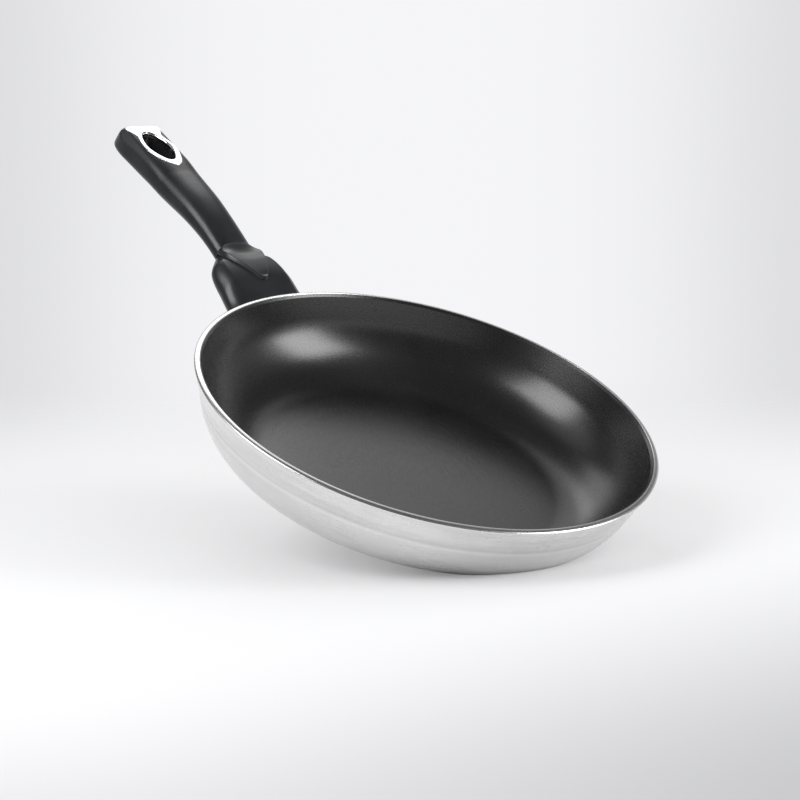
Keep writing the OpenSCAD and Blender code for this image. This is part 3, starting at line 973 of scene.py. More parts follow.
@dataclass
class Bowl:
    """The metal bowl, its coating and the steel plate pressed into its base."""

    radius: float = 140.0
    height: float = 52.4
    base_radius: float = 90.0
    belly_radius: float = 44.4
    flare_height: float = 17.4
    rim_width: float = 4.0
    land_width: float = 3.1
    edge_radius: float = 1.2
    land_drop: float = 1.3
    land_flat: float = 0.3
    land_edge: tuple[float, float] = (0.1, 0.12)
    bevel_height: float = 1.6
    floor: float = 4.8
    wall: float = 2.2
    inside_radius: float = 44.0
    coat: float = 0.4
    coat_step: float = 0.2
    plate_radius: float = 71.0
    plate_thick: float = 0.8
    plate_gap: float = 0.05
    plug_radius: float = 2.95
    plug_sink: float = 0.2
    plug_crown: float = 0.12
    plug_dome: float = 0.94
    plug_edge: float = 0.08
    plug_root: float = 0.3
    plug_rings: int = 5
    plug_step: int = 6
    groove_width: float = 1.2
    groove_depth: float = 0.15
    groove_pitch: float = 4.0
    around: int = 360
    sharp_deg: float = 24.0

    def __post_init__(self) -> None:
        """Works out the crease, the slopes of the flare and of the inside wall, and the inside arc."""
        self.crease_z = self.height - self.flare_height
        self.crease_deg = math.degrees(math.asin((self.belly_radius - self.crease_z) / self.belly_radius))
        self.crease_radius = self.base_radius + self.belly_radius * math.cos(math.radians(self.crease_deg))
        self.edge = (self.radius - self.edge_radius, self.height - self.edge_radius)
        run = (self.edge[0] - self.crease_radius, self.edge[1] - self.crease_z)
        self.flare = math.atan2(run[0], run[1]) + math.asin(self.edge_radius / math.hypot(*run))
        run_in = self.radius - self.rim_width - self.crease_radius + self.wall
        self.lean = math.atan2(run_in, self.flare_height)
        sin, cos = math.sin(self.lean), math.cos(self.lean)
        self.inside_offset = cos * (self.radius - self.rim_width) - sin * self.height
        self.inside_z = self.floor + self.inside_radius
        self.inside_x = (self.inside_offset - self.inside_radius + sin * self.inside_z) / cos

    def outside(self, z: float | Array) -> Array:
        """Radius of the outside: the belly's arc, then the straight flare.

        Args:
            z: Heights.

        Returns:
            The radii.
        """
        low = self.belly_radius**2 - (self.belly_radius - np.minimum(z, self.crease_z)) ** 2
        belly = self.base_radius + np.sqrt(np.maximum(low, 0.0))
        flare = self.crease_radius + (z - self.crease_z) * math.tan(self.flare)
        return np.where(z > self.crease_z, flare, belly)

    def inside_at(self, z: float, inset: float) -> float:
        """Radius of the inside wall at a height, moved in by an inset."""
        return (self.inside_offset - inset + math.sin(self.lean) * z) / math.cos(self.lean)

    def inside_profile(self, inset: float, top: float) -> Array:
        """Profile of the inside from the axis to the rim.

        The floor runs flat to the belly's arc, the wall is tangent to the arc, and a bevel leads
        from the wall to the inner edge of the land.

        Args:
            inset: Distance by which it is moved into the bowl.
            top: Height at which the bevel is cut off.

        Returns:
            Radius and height of its points.
        """
        level = self.floor + inset
        flat = np.linspace([0.0, level], [self.inside_x, level], 40)
        bevel_z = self.height - self.bevel_height
        low = np.array([self.inside_at(bevel_z, inset), bevel_z])
        high_r = self.radius - self.land_width - inset
        end = np.array([mix(low[0], high_r, (top - bevel_z) / self.bevel_height), top])
        centre = (self.inside_x, self.inside_z)
        bend = arc(centre, self.inside_radius - inset, -90.0, -math.degrees(self.lean), 48)
        wall = np.linspace(bend[-1], low, 12)
        return np.concatenate([flat[:-1], bend, wall[1:], [mix(low, end, 0.5), end]])

    def outside_profile(self) -> Array:
        """Profile of the outside from the middle of the base to the land's inner edge.

        It runs over the plate's seat, the turned grooves, the belly's arc, the flare and the
        rim, whose top is the quarter of a low ellipse. A groove's section is half a sine wave.

        Returns:
            Radius and height of its points.
        """
        seat_r, seat_z = self.plate_radius + self.plate_gap, self.plate_thick + self.plate_gap
        seat = np.linspace([0.0, seat_z], [seat_r, seat_z], 12)
        count = int((self.base_radius - self.plate_radius) // self.groove_pitch) - 1
        wave = np.linspace(-0.5, 0.5, 9)
        middles = self.plate_radius + self.groove_pitch * np.arange(1, count + 1)
        groove_r = (middles[:, None] + self.groove_width * wave).ravel()
        groove_z = np.tile(self.groove_depth * np.cos(np.pi * wave), count)
        grooves = np.stack([groove_r, groove_z], 1)
        foot = [[seat_r, 0.0], [middles[0] - self.groove_pitch / 2.0, 0.0]]
        belly = arc((self.base_radius, self.belly_radius), self.belly_radius, -90.0, -self.crease_deg, 56)
        wide, tall = self.land_width - self.land_flat, self.land_drop
        start = -math.atan(math.tan(self.flare) * tall / wide)
        a = np.linspace(start, np.pi / 2.0, 24)
        rim = np.array([self.radius - wide, self.height - tall]) + polar(1.0, a) * [wide, tall]
        flare = np.linspace(belly[-1], rim[0], 14)[1:-1]
        inner_r, (edge_r, edge_z) = self.radius - self.land_width, self.land_edge
        inner = [[inner_r + edge_r, self.height], [inner_r, self.height - edge_z]]
        return np.concatenate([seat, foot, grooves, belly, flare, rim, inner])

    def plug_places(self) -> Array:
        """Middles of the plugs: ring k has k times plug_step of them, evenly spread.

        Returns:
            X and Y of each.
        """
        pitch = self.plate_radius / (self.plug_rings + 0.5)
        rings = np.arange(1, self.plug_rings + 1)
        ring = np.repeat(rings, self.plug_step * rings)
        number = np.concatenate([np.arange(self.plug_step * k) for k in rings])
        return polar(pitch * ring, 2.0 * np.pi * number / (self.plug_step * ring))

    def plugs(self) -> Skin:
        """The bowl's metal where it is pressed through the plate.

        Each plug is a low dome whose section is a parabola, on a straight side.

        Returns:
            One skin for all of them.
        """
        share = np.linspace(0.0, 1.0, 5)
        dome_z = self.plug_sink - self.plug_crown * (1.0 - share**2)
        dome = np.stack([self.plug_radius * share * self.plug_dome, dome_z], 1)
        root = self.plate_thick + self.plug_root
        side = [[self.plug_radius, self.plug_sink + self.plug_edge], [self.plug_radius, root], [0.0, root]]
        one = Skin.lathe(np.concatenate([dome, side]), 28)
        shifts = np.pad(self.plug_places(), ((0, 0), (0, 1)))
        return Skin.joined([Skin(one.points + shift, one.quads, one.tris) for shift in shifts])

    def build(self, dresser: Dresser) -> None:
        """Builds and dresses the bowl's pieces.

        Args:
            dresser: Gives each its finish and its node.
        """
        finishes = dresser.finishes
        inside = self.inside_profile(0.0, self.height - self.land_edge[1])
        shell = Skin.lathe(np.concatenate([self.outside_profile(), inside[:-1][::-1]]), self.around)
        body = Skin.joined([shell, self.plugs()]).mesh("pan_bowl", self.sharp_deg)
        dresser.dress(body, finishes.bowl, "pan_body")
        top = self.height - self.coat_step
        under, over = self.inside_profile(0.0, top), self.inside_profile(self.coat, top)
        coat = Skin.lathe(np.concatenate([under, over[::-1]]), self.around)
        coat = coat.mesh("pan_coating", self.sharp_deg)
        dresser.dress(coat, finishes.coating, "nonstick_coating")
        dresser.keep("base_plate", finishes.plate, 0.12)


# The handle


@dataclass
class Handle:
    """The shield at the wall, the grip with its pointed tongue, the ring round the hanging hole,
    and the lug and screw that hold them.

    Places along the handle are shares of its length beyond the rim, and heights are shares of
    its rise, as in the tables.
    """

    bowl: Bowl
    length: float = 197.0
    rise: float = 28.0
    grip_width: float = 34.4
    grip_thick: float = 21.0
    nose_length: float = 18.0
    nose_lean: float = 4.5
    nose_power: float = 6.0
    nose_side_power: float = 7.0
    shield_width: float = 64.0
    shield_height: float = 28.0
    shield_thick: float = 2.6
    upright_from: float = 0.0308
    hollow_to: float = 0.2563
    shield_power: float = 2.1
    crown: float = 1.8
    wall_gap: float = 0.3
    tongue_thick: float = 1.8
    tip_stretch: float = 1.7
    tongue_power: float = 2.0
    lip: float = 1.2
    bead: float = 1.3
    lap_gap: float = 0.25
    seam: float = 0.325
    barb: float = 0.2687
    crease: float = 0.7
    hole_length: float = 33.6
    hole_width: float = 17.0
    hole_back: float = 31.8
    hole_end: float = 0.29
    ring_share: float = 0.9036
    ring_slope: float = 6.5
    ring_width: float = 24.6
    ring_thick: float = 1.6
    ring_crown: float = 0.12
    inner_round: float = 1.3
    outer_round: float = 0.35
    ring_even: float = 0.35
    collar: float = 3.0
    liner_thick: float = 1.4
    liner_edge: float = 0.3
    liner_share: float = 0.96
    press_gap: float = 0.05
    peg_radius: float = 1.2
    peg_length: float = 4.0
    peg_root: float = 0.5
    peg_front: float = 0.635
    peg_back: float = 0.625
    peg_side: float = 0.28
    facet: tuple[float, float, float] = (0.9536, 0.843, 0.77)
    facet_tilt: float = 33.7
    facet_drift: float = 3.6
    facet_corner: float = 0.5
    flat_corner: float = 0.35
    flat_from: float = 0.6768
    flat_to: float = 0.7793
    arm_slope: float = 16.0
    arm_width: float = 12.0
    arm_thick: float = 4.6
    arm_end: float = 9.0
    screw_out: float = 86.0
    screw_radius: float = 2.5
    head_radius: float = 4.5
    seat_thick: float = 1.8
    socket_gap: float = 0.2
    columns: int = 192
    sides: int = 120
    tops: int = 60
    grip_table: Table = Table(
        (
            (0.3250, 0.110, 0.790, 0.810, 2.4),
            (0.3804, 0.245, 0.800, 0.802, 2.4),
            (0.4471, 0.405, 0.815, 0.858, 2.4),
            (0.5383, 0.576, 0.868, 0.925, 2.5),
            (0.6501, 0.710, 0.925, 0.985, 2.7),
            (0.7619, 0.830, 0.968, 1.000, 3.1),
            (0.8726, 0.943, 0.975, 0.965, 3.8),
            (0.9649, 1.016, 1.010, 0.925, 4.6),
            (1.0000, 1.044, 1.004, 0.945, 4.8),
        )
    )
    tongue_table: Table = Table(
        (
            (0.1415, -0.105, 0.170),
            (0.1805, -0.025, 0.400),
            (0.2287, 0.040, 0.680),
            (0.2615, 0.058, 0.810),
            (0.2820, 0.064, 0.850),
            (0.3025, 0.078, 0.840),
            (0.3250, 0.110, 0.790),
        )
    )
    shield_table: Table = Table(
        (
            (-0.0205, -0.965, 1.020, 1.000),
            (0.0410, -0.890, 1.020, 0.968),
            (0.1025, -0.758, 0.910, 0.980),
            (0.1723, -0.553, 0.860, 1.060),
            (0.2543, -0.372, 0.790, 0.850),
            (0.2943, -0.315, 0.600, 0.600),
            (0.3250, -0.270, 0.410, 0.500),
        )
    )
    ring_table: Table = Table(
        (
            (0.0, -0.759, 0.000),
            (1.0, -0.699, 0.244),
            (2.0, -0.601, 0.515),
            (3.0, -0.381, 0.800),
            (4.0, -0.131, 1.000),
            (5.0, 0.131, 0.940),
            (6.0, 0.271, 0.840),
            (7.0, 0.405, 0.800),
            (8.0, 0.524, 0.915),
            (9.0, 0.625, 1.075),
            (10.0, 0.702, 1.030),
            (11.0, 0.738, 0.720),
            (12.0, 0.741, 0.000),
            (13.0, 0.738, -0.720),
        )
    )

    def __post_init__(self) -> None:
        """Works out the places of the ring and the screw, and the shield's creases."""
        start, height = self.bowl.radius, self.bowl.height
        self.ring_out = start + self.length - self.hole_back
        self.ring = Place((-self.ring_out, 0.0, height + self.rise * self.ring_share), self.ring_slope)
        foot_z = self.bowl.crease_z - self.bowl.flare_height / 2.0
        foot_out = float(self.bowl.outside(foot_z))
        self.arm_line = (foot_out, foot_z)
        out = start + self.screw_out
        self.screw = Place((-out, 0.0, self.arm_z(out)), self.arm_slope)
        self.crease_angle = math.asin(self.crease ** (self.shield_power / 2.0))
        self.crease_width = math.cos(self.crease_angle) ** (2.0 / self.shield_power)

    def arm_z(self, out: float) -> float:
        """Height of the lug's arm at a distance from the bowl's axis."""
        return self.arm_line[1] + (out - self.arm_line[0]) * math.tan(math.radians(self.arm_slope))

    def x_at(self, s: float | Array) -> float | Array:
        """Place along the X axis of a share of the handle's length."""
        return -self.bowl.radius - self.length * s

    # Shield

    def shield_half(self, s: Array, inset: float = 0.0) -> tuple[Array, Array, Array]:
        """Half width, half height and middle height of the shield.

        Args:
            s: Shares of the length.
            inset: Distance by which it is shrunk.

        Returns:
            The three, each shaped as s.
        """
        width = self.shield_table.at(2, s) * self.shield_width / 2.0 - inset
        height = self.shield_table.at(3, s) * self.shield_height / 2.0 - inset
        return width, height, self.bowl.height + self.shield_table.at(1, s) * self.rise

    def shield_top(self, s: Array, y: Array) -> Array:
        """Height of the shield's top: a parabola between its two creases.

        Args:
            s: Shares of the length.
            y: Distances from the middle plane.

        Returns:
            The heights.
        """
        width, height, middle = self.shield_half(s)
        u = y / (width * self.crease_width)
        return middle + height * self.crease + self.crown * (1.0 - u * u)

    def shield_section(self, s: Array, inset: float) -> tuple[Array, Array]:
        """Sections of the shield: a superellipse from crease to crease, and a crowned top.

        Args:
            s: Shares of the length, one for each section.
            inset: Distance by which the section is shrunk.

        Returns:
            The points' Y and Z, one row for each section.
        """
        width, height, middle = (v[:, None] for v in self.shield_half(s, inset))
        crowd = (1.0 - np.cos(np.pi * np.linspace(0.0, 1.0, self.sides + 1))) / 2.0
        a = mix(np.pi - self.crease_angle, 2.0 * np.pi + self.crease_angle, crowd)[None]
        power = 2.0 / self.shield_power
        side_y = width * np.sign(np.cos(a)) * np.abs(np.cos(a)) ** power
        side_z = height * np.sign(np.sin(a)) * np.abs(np.sin(a)) ** power
        u = np.cos(np.pi * np.arange(1, self.tops) / self.tops)[None]
        top_y = width * self.crease_width * u
        top_z = height * self.crease + self.crown * (1.0 - u * u) + 0.0 * width
        return np.concatenate([side_y, top_y], 1), middle + np.concatenate([side_z, top_z], 1)

    def on_wall(self, y: Array, z: Array) -> Array:
        """The X at which points of a section meet the bowl's wall, less the gap."""
        reach = self.bowl.outside(z) + self.wall_gap
        return -np.sqrt(reach * reach - y * y)

    def shield(self) -> Skin:
        """The hollow shield.

        Its sections are carried from the wall to the seam, through the slot for the arm, and
        back inside. The first ones lead over from the wall's curve to a flat section.

        Returns:
            The closed skin.
        """
        start, hollow, thick = self.upright_from, self.hollow_to, self.shield_thick

        def leading(inset: float, count: int) -> Array:
            """Sections that lead over from the wall, each point on a straight line.

            Args:
                inset: Distance by which they are shrunk.
                count: Number of sections.

            Returns:
                The sections as rings of points.
            """
            ends = self.shield_section(np.array([self.shield_table.rows[0][0], start]), inset)
            share = np.linspace(0.0, 1.0, count, endpoint=False)[:, None]
            y, z = (mix(v[0], v[1], share) for v in ends)
            wall = self.on_wall(ends[0][0], ends[1][0])
            return np.stack([mix(wall, self.x_at(start), share), y, z], -1)

        def plain(low: float, high: float, inset: float, count: int) -> Array:
            """Upright sections.

            Args:
                low: Share of the length where they start.
                high: Share where they end.
                inset: Distance by which they are shrunk.
                count: Number of sections.

            Returns:
                The sections as rings of points.
            """
            s = np.linspace(low, high, count)
            y, z = self.shield_section(s, inset)
            return np.stack([self.x_at(s)[:, None] + 0.0 * y, y, z], -1)

        slot = [self.slot_ring(-self.x_at(self.seam)), self.slot_ring(thick - self.x_at(hollow))]
        rings = [leading(0.0, 8), plain(start, self.seam, 0.0, 72), np.stack(slot)]
        rings += [plain(start, hollow, thick, 24)[::-1], leading(thick, 4)[::-1]]
        return Skin.loft(np.concatenate(rings), Ends.JOINED)

    def slot_ring(self, out: float) -> Array:
        """One ring of the shield's slot: a rectangle close round the arm.

        As many points run round it as round a section: down one side, along the bottom, up the
        other side and back along the top.

        Args:
            out: Distance from the bowl's axis.

        Returns:
            The ring's points.
        """
        slant = self.arm_thick / 2.0 / math.cos(math.radians(self.arm_slope))
        w, low = self.arm_width / 2.0 + self.socket_gap, -slant - self.socket_gap
        high = slant + self.press_gap
        i, corners = np.arange(self.sides + 1) / self.sides, [0.0, 0.25, 0.75, 1.0]
        top_y = mix(w, -w, np.arange(1, self.tops) / self.tops)
        y = np.concatenate([np.interp(i, corners, [-w, -w, w, w]), top_y])
        z = np.concatenate([np.interp(i, corners, [high, low, low, high]), high + 0.0 * top_y])
        return np.stack([np.full(len(y), -out), y, self.arm_z(out) + z], 1)

    # Grip

    def plane_z(self, s: float | Array) -> float | Array:
        """Height of the ring's plane at shares of the length."""
        out = self.bowl.radius + self.length * s
        return self.ring.origin[2] + (out - self.ring_out) * math.tan(math.radians(self.ring_slope))

    def grip_top(self, s: Array) -> Array:
        """Height of the grip's top, which runs into the ring's plane."""
        free = self.bowl.height + self.grip_table.at(1, s) * self.rise
        return mix(free, self.plane_z(s) + self.ring_thick / 5.0, ease(self.flat_from, self.flat_to, s))

    def tongue_rings(self, rows: int) -> Array:
        """Sections of the tongue.

        The underside follows the shield, and the top rises over a superellipse to a lip, inside
        which it is dished. In plan and from the side the tip is a quarter round.

        Args:
            rows: Number of sections.

        Returns:
            The sections as rings of points.
        """
        half = self.columns // 2
        start = self.tongue_table.rows[0][0]
        tip_length = self.tongue_thick * self.tip_stretch
        tip_rows = rows // 4
        quarter = np.radians(np.linspace(4.0, 90.0, tip_rows))
        tip_s = start + tip_length * (1.0 - np.cos(quarter)) / self.length
        s = np.concatenate([tip_s, np.linspace(tip_s[-1], self.seam, rows - tip_rows + 1)[1:]])[:, None]
        x = (s - start) * self.length
        fade = ease(self.barb, self.seam, s)
        round_off = np.sqrt(np.maximum(1.0 - (1.0 - np.minimum(x / tip_length, 1.0)) ** 2, 0.0))
        width = self.tongue_table.at(2, s) * self.grip_width / 2.0 * round_off
        edge_z = self.shield_top(s, width) + self.lap_gap
        top = self.bowl.height + self.tongue_table.at(1, s) * self.rise
        dish = self.lip * ease(0.0, tip_length, x) * (1.0 - fade)
        power = mix(self.tongue_power, self.grip_table.rows[0][4], fade)
        u, lift = superellipse(np.arange(half)[None] * 2.0 / half, power)
        bead = np.sin(np.pi / 2.0 * np.minimum((1.0 - np.abs(u)) * width / self.bead, 1.0))
        lift = mix(bead, lift, fade)
        high = top - dish * (1.0 - u * u)
        over = mix(edge_z, high, lift)
        under_u = np.linspace(-1.0, 1.0, half, endpoint=False)[None] + 0.0 * s
        under = self.shield_top(s, width * under_u) + self.lap_gap
        y = width * np.concatenate([u, under_u], 1)
        return np.stack([self.x_at(s) + 0.0 * y, y, np.concatenate([over, under], 1)], -1)

    def grip_rings(self, s: Array, width_share: Array, thick_share: Array, lean: Array) -> Array:
        """Sections of the grip beyond the seam, cut by the ring's plane and the two bevels.

        A section is a superellipse round the grip's middle. A point that lies beyond a plane is
        drawn in along its own line from the middle until it meets it, with a soft corner.

        Args:
            s: Shares of the length.
            width_share: How far each section's width is shrunk.
            thick_share: How far its thickness is shrunk.
            lean: Distance by which its top lies behind its middle.

        Returns:
            The sections as rings of points.
        """
        given = (s, width_share, thick_share, lean)
        s, width_share, thick_share, lean = (np.asarray(v, float)[:, None] for v in given)
        x, z = superellipse(np.arange(self.columns)[None] * 4.0 / self.columns, self.grip_table.at(4, s))
        width = self.grip_table.at(2, s) * self.grip_width / 2.0
        thick = self.grip_table.at(3, s) * self.grip_thick / 2.0
        middle = np.stack([self.x_at(s), 0.0 * s, self.grip_top(s) - thick], -1)
        arm = np.stack([lean * thick_share * z, width * width_share * x, thick * thick_share * z], -1)
        reach = np.linalg.norm(arm, axis=-1)
        drawn, least, free = reach, 1e-3, 1e3
        for normal, point, corner in self.planes():
            gap = (point - middle) @ normal
            towards = (arm @ normal) / reach
            limit = np.where(towards > least, gap / np.maximum(towards, least), free)
            # The planes cut only the far half of the handle
            drawn = soft_min(drawn, np.where(s > 0.5, limit, free), corner)
        return middle + arm * (drawn / reach)[..., None]

    def planes(self) -> list[tuple[Array, Array, float]]:
        """The ring's plane and the bevels beside it.

        A bevel leans facet_tilt degrees off upright, is turned facet_drift degrees along the handle
        and goes through the point that facet gives.

        Returns:
            The normal, a point and the corner's width of each.
        """
        found = [(self.ring.normal(), np.array(self.ring.origin), self.flat_corner)]
        along, across, down = self.facet
        tilt, drift = math.radians(90.0 - self.facet_tilt), math.radians(90.0 - self.facet_drift)
        x, y = self.x_at(along), across * self.grip_width / 2.0
        z = self.plane_z(along) - self.grip_thick / 2.0 * (1.0 - down)
        ahead, aside = math.sin(tilt) * math.cos(drift), math.sin(tilt) * math.sin(drift)
        for side in (-1.0, 1.0):
            normal = np.array([ahead, side * aside, math.cos(tilt)])
            found.append((normal, np.array([x, side * y, z]), self.facet_corner))
        return found

    def grip(self) -> bpy.types.Object:
        """The grip: tongue, body and rounded end in one skin, less the seats, the hole and the socket.

        Returns:
            The piece.
        """
        draft = self.tongue_thick / 5.0 / self.length
        tongue = self.tongue_rings(80)
        nose = self.nose_length / self.length
        body_s = np.linspace(self.seam + draft, 1.0 - nose, 150)
        ones = np.ones(len(body_s))
        body = self.grip_rings(body_s, ones, ones, 0.0 * ones)
        front = body[0].copy()
        front[self.columns // 2 + 1 :, 0] = self.x_at(self.seam)
        a = np.radians(np.linspace(0.0, 89.0, 44)[1:])
        end = self.grip_rings(
            1.0 - nose + nose * np.sin(a),
            np.cos(a) ** (2.0 / self.nose_power),
            np.cos(a) ** (2.0 / self.nose_side_power),
            self.nose_lean * np.sin(a),
        )
        rings = np.concatenate([tongue, front[None], body[1:], end])
        sharp_deg = 32.0
        return cut(Skin.loft(rings).mesh("handle_grip", sharp_deg), self.grip_cutters(), sharp_deg)

    def grip_cutters(self) -> list[Skin]:
        """What is taken out of the grip, at the ring and at the screw.

        Returns:
            The cutters, each a straight prism or some of them.
        """
        far = 3.0 * self.nose_length
        gap = self.press_gap
        ring = [
            Skin.prism(self.ring_outline(gap), -self.ring_thick, far),
            Skin.prism(self.hole_outline(self.liner_thick + gap), -far, far),
            self.pegs(gap, 0.0),
        ]
        w, low, high = self.arm_width / 2.0 + self.socket_gap, -self.arm_thick / 2.0, self.arm_thick / 2.0
        start, stop = -self.arm_end - self.socket_gap, far
        box = np.array([[start, -w], [stop, -w], [stop, w], [start, w]])
        under = low - self.seat_thick
        well = circle((0.0, 0.0), self.head_radius + 2.0 * self.socket_gap, 48)
        bore = circle((0.0, 0.0), self.screw_radius + self.socket_gap, 24)
        screw = [
            Skin.prism(box, low, high + self.socket_gap),
            Skin.prism(bore, under - 1.0, low + 1.0),
            Skin.prism(well, -far, under),
        ]
        return [c.at(self.ring) for c in ring] + [c.at(self.screw) for c in screw]

    # Hanging ring

    def hole_radius(self, angle: Array, grow: float) -> Array:
        """Distance from the hole's middle to its outline, grown, in some directions.

        The outline is two long arcs and two small end arcs, all tangent.

        Args:
            angle: Directions in the ring's plane, in radians.
            grow: Distance by which the outline is grown.

        Returns:
            The distances.
        """
        end = self.hole_width * self.hole_end
        x = self.hole_length / 2.0 - end
        side = (x * x - end * end + (self.hole_width / 2.0) ** 2) / (self.hole_width - 2.0 * end)
        off = side - self.hole_width / 2.0
        meet = math.degrees(math.atan2(off, x))
        tip = arc((x, 0.0), end + grow, 0.0, meet, 200)
        long_arc = arc((0.0, -off), side + grow, meet, 90.0, 400)
        quarter = np.concatenate([tip, long_arc[1:]])
        found = np.arctan2(quarter[:, 1], quarter[:, 0])
        folded = np.abs(np.arctan2(np.abs(np.sin(angle)), np.abs(np.cos(angle))))
        return np.interp(folded, found, np.hypot(quarter[:, 0], quarter[:, 1]))

    def hole_outline(self, grow: float, count: int = 240) -> Array:
        """The hole's outline, with its points crowded towards its narrow ends.

        Args:
            grow: Distance by which it is grown.
            count: Number of points.

        Returns:
            X and Y of each in the ring's plane.
        """
        even = np.linspace(0.0, 2.0 * np.pi, count, endpoint=False)
        squash = self.hole_width / self.hole_length
        angle = np.arctan2(np.sin(even) * squash, np.cos(even))
        radius = self.hole_radius(angle, grow)
        return polar(radius, angle)

    def ring_outline(self, grow: float) -> Array:
        """Outline of the ring's face: the table's curve and its mirror image.

        Args:
            grow: Distance by which it is grown.

        Returns:
            X and Y of each point in the ring's plane.
        """
        t = np.linspace(0.0, 12.0, 193)
        x = -self.ring_table.at(1, t) * (self.hole_length + 2.0 * grow)
        y = self.ring_table.at(2, t) * (self.ring_width / 2.0 + grow)
        half = np.stack([x, y], 1)
        return np.concatenate([half, (half * [1.0, -1.0])[-2:0:-1]])

    def pegs(self, grow: float, top: float) -> Skin:
        """The ring's three pegs.

        Args:
            grow: Distance by which they are grown.
            top: Height of their tops in the ring's frame.

        Returns:
            One skin for the three.
        """
        back, side = -self.hole_length * self.peg_back, self.ring_width * self.peg_side
        places = ((self.hole_length * self.peg_front, 0.0), (back, side), (back, -side))
        rounds = [circle(place, self.peg_radius + grow, 24) for place in places]
        return Skin.joined([Skin.prism(r, -self.ring_thick - self.peg_length, top) for r in rounds])

    def ring_skin(self) -> Skin:
        """The hanging ring.

        A section is carried round the hole. It is measured from the hole's outline towards the
        ring's: a rounded inner edge, a gently crowned face, a crisper outer edge, the thickness
        of the face, and the collar that stands down inside the hole. Its directions lie between
        those of the outline's own points and evenly spread ones, at a share of ring_even.

        Returns:
            The closed skin, with its pegs.
        """
        outer = self.ring_outline(0.0)
        angle = np.unwrap(np.arctan2(outer[:, 1], outer[:, 0]))
        turn = np.sign(angle[len(angle) // 2] - angle[0])
        even = np.linspace(0.0, 2.0 * np.pi, len(outer), endpoint=False) * turn
        angle = mix(angle, even, self.ring_even)
        inner = polar(self.hole_radius(angle, 0.0), angle)
        span = outer - inner
        width = np.linalg.norm(span, axis=1, keepdims=True)
        bend = np.radians(np.linspace(0.0, 90.0, 9))
        face = np.linspace(0.0, 1.0, 9)[1:-1]
        far = [
            self.inner_round * (1.0 - np.cos(bend)),
            mix(self.inner_round, width - self.outer_round, face),
            width - self.outer_round * (1.0 - np.sin(bend)),
            *(width, self.liner_thick, self.liner_thick, 0.0),
        ]
        high = [
            self.inner_round * (np.sin(bend) - 1.0) - self.ring_crown,
            -self.ring_crown * (2.0 * face - 1.0) ** 4,
            self.outer_round * (np.cos(bend) - 1.0) - self.ring_crown,
            *(-self.ring_thick, -self.ring_thick, -self.collar, -self.collar),
        ]
        d, z = (np.concatenate([part + 0.0 * width for part in row], 1) for row in (far, high))
        flat = inner[:, None] + span[:, None] * (d / width)[..., None]
        skin = Skin.loft(np.concatenate([flat, z[..., None]], -1), Ends.JOINED)
        pegs = self.pegs(0.0, -self.peg_root - self.ring_thick / 2.0)
        return Skin.joined([skin, pegs]).at(self.ring)

    def liner_skin(self) -> Skin:
        """The gloss liner: a thin wall round the hole below the ring's collar, its lower edge rounded.

        Returns:
            The closed skin.
        """
        low, high = -self.grip_thick * self.liner_share, -self.collar
        inner, outer = (self.hole_outline(grow) for grow in (0.0, self.liner_thick))
        edge, share = self.liner_edge, self.liner_edge / self.liner_thick
        loop = [(0.0, high), (0.0, low + edge), (share, low)]
        loop += [(1.0 - way, z) for way, z in loop[::-1]]
        rings = [np.insert(mix(inner, outer, way), 2, z, axis=1) for way, z in loop]
        return Skin.loft(np.stack(rings), Ends.JOINED).at(self.ring)

    def build(self, dresser: Dresser) -> None:
        """Builds and dresses the handle's pieces.

        Args:
            dresser: Gives each its finish and its node.
        """
        finishes = dresser.finishes
        dresser.dress(self.shield().mesh("handle_shell", 35.0), finishes.moulding, "handle_shield")
        dresser.dress(self.grip(), finishes.moulding, "grip")
        dresser.dress(self.ring_skin().mesh("ring_face", 50.0), finishes.ring, "hanging_ring")
        dresser.dress(self.liner_skin().mesh("hole_liner", 40.0), finishes.liner, "hanging_liner")
        dresser.keep("handle_lug", finishes.lug, 0.4)
        for node in ("clamp_screw", "spring_washer", "flat_washer"):
            dresser.keep(node, finishes.screw, 0.12)


# Stage


@dataclass(frozen=True)
class Lamp:
    """A soft box that faces the pan.

    Its azimuth is 0 beyond the pan and 90 to the camera's right, and its elevation starts at the
    camera's level, both in degrees. Its width and height are in metres and its power in watts.
    """

    name: str
    azimuth: float
    elevation: float
    size: tuple[float, float]
    watts: float


@dataclass(frozen=True)
class Patch:
    """A soft patch that only reflections find, in a direction given like a lamp's.

    Its edge holds the cosines of the angles from its middle where it starts and where it is full.
    """

    azimuth: float
    elevation: float
    edge: Span
    level: float


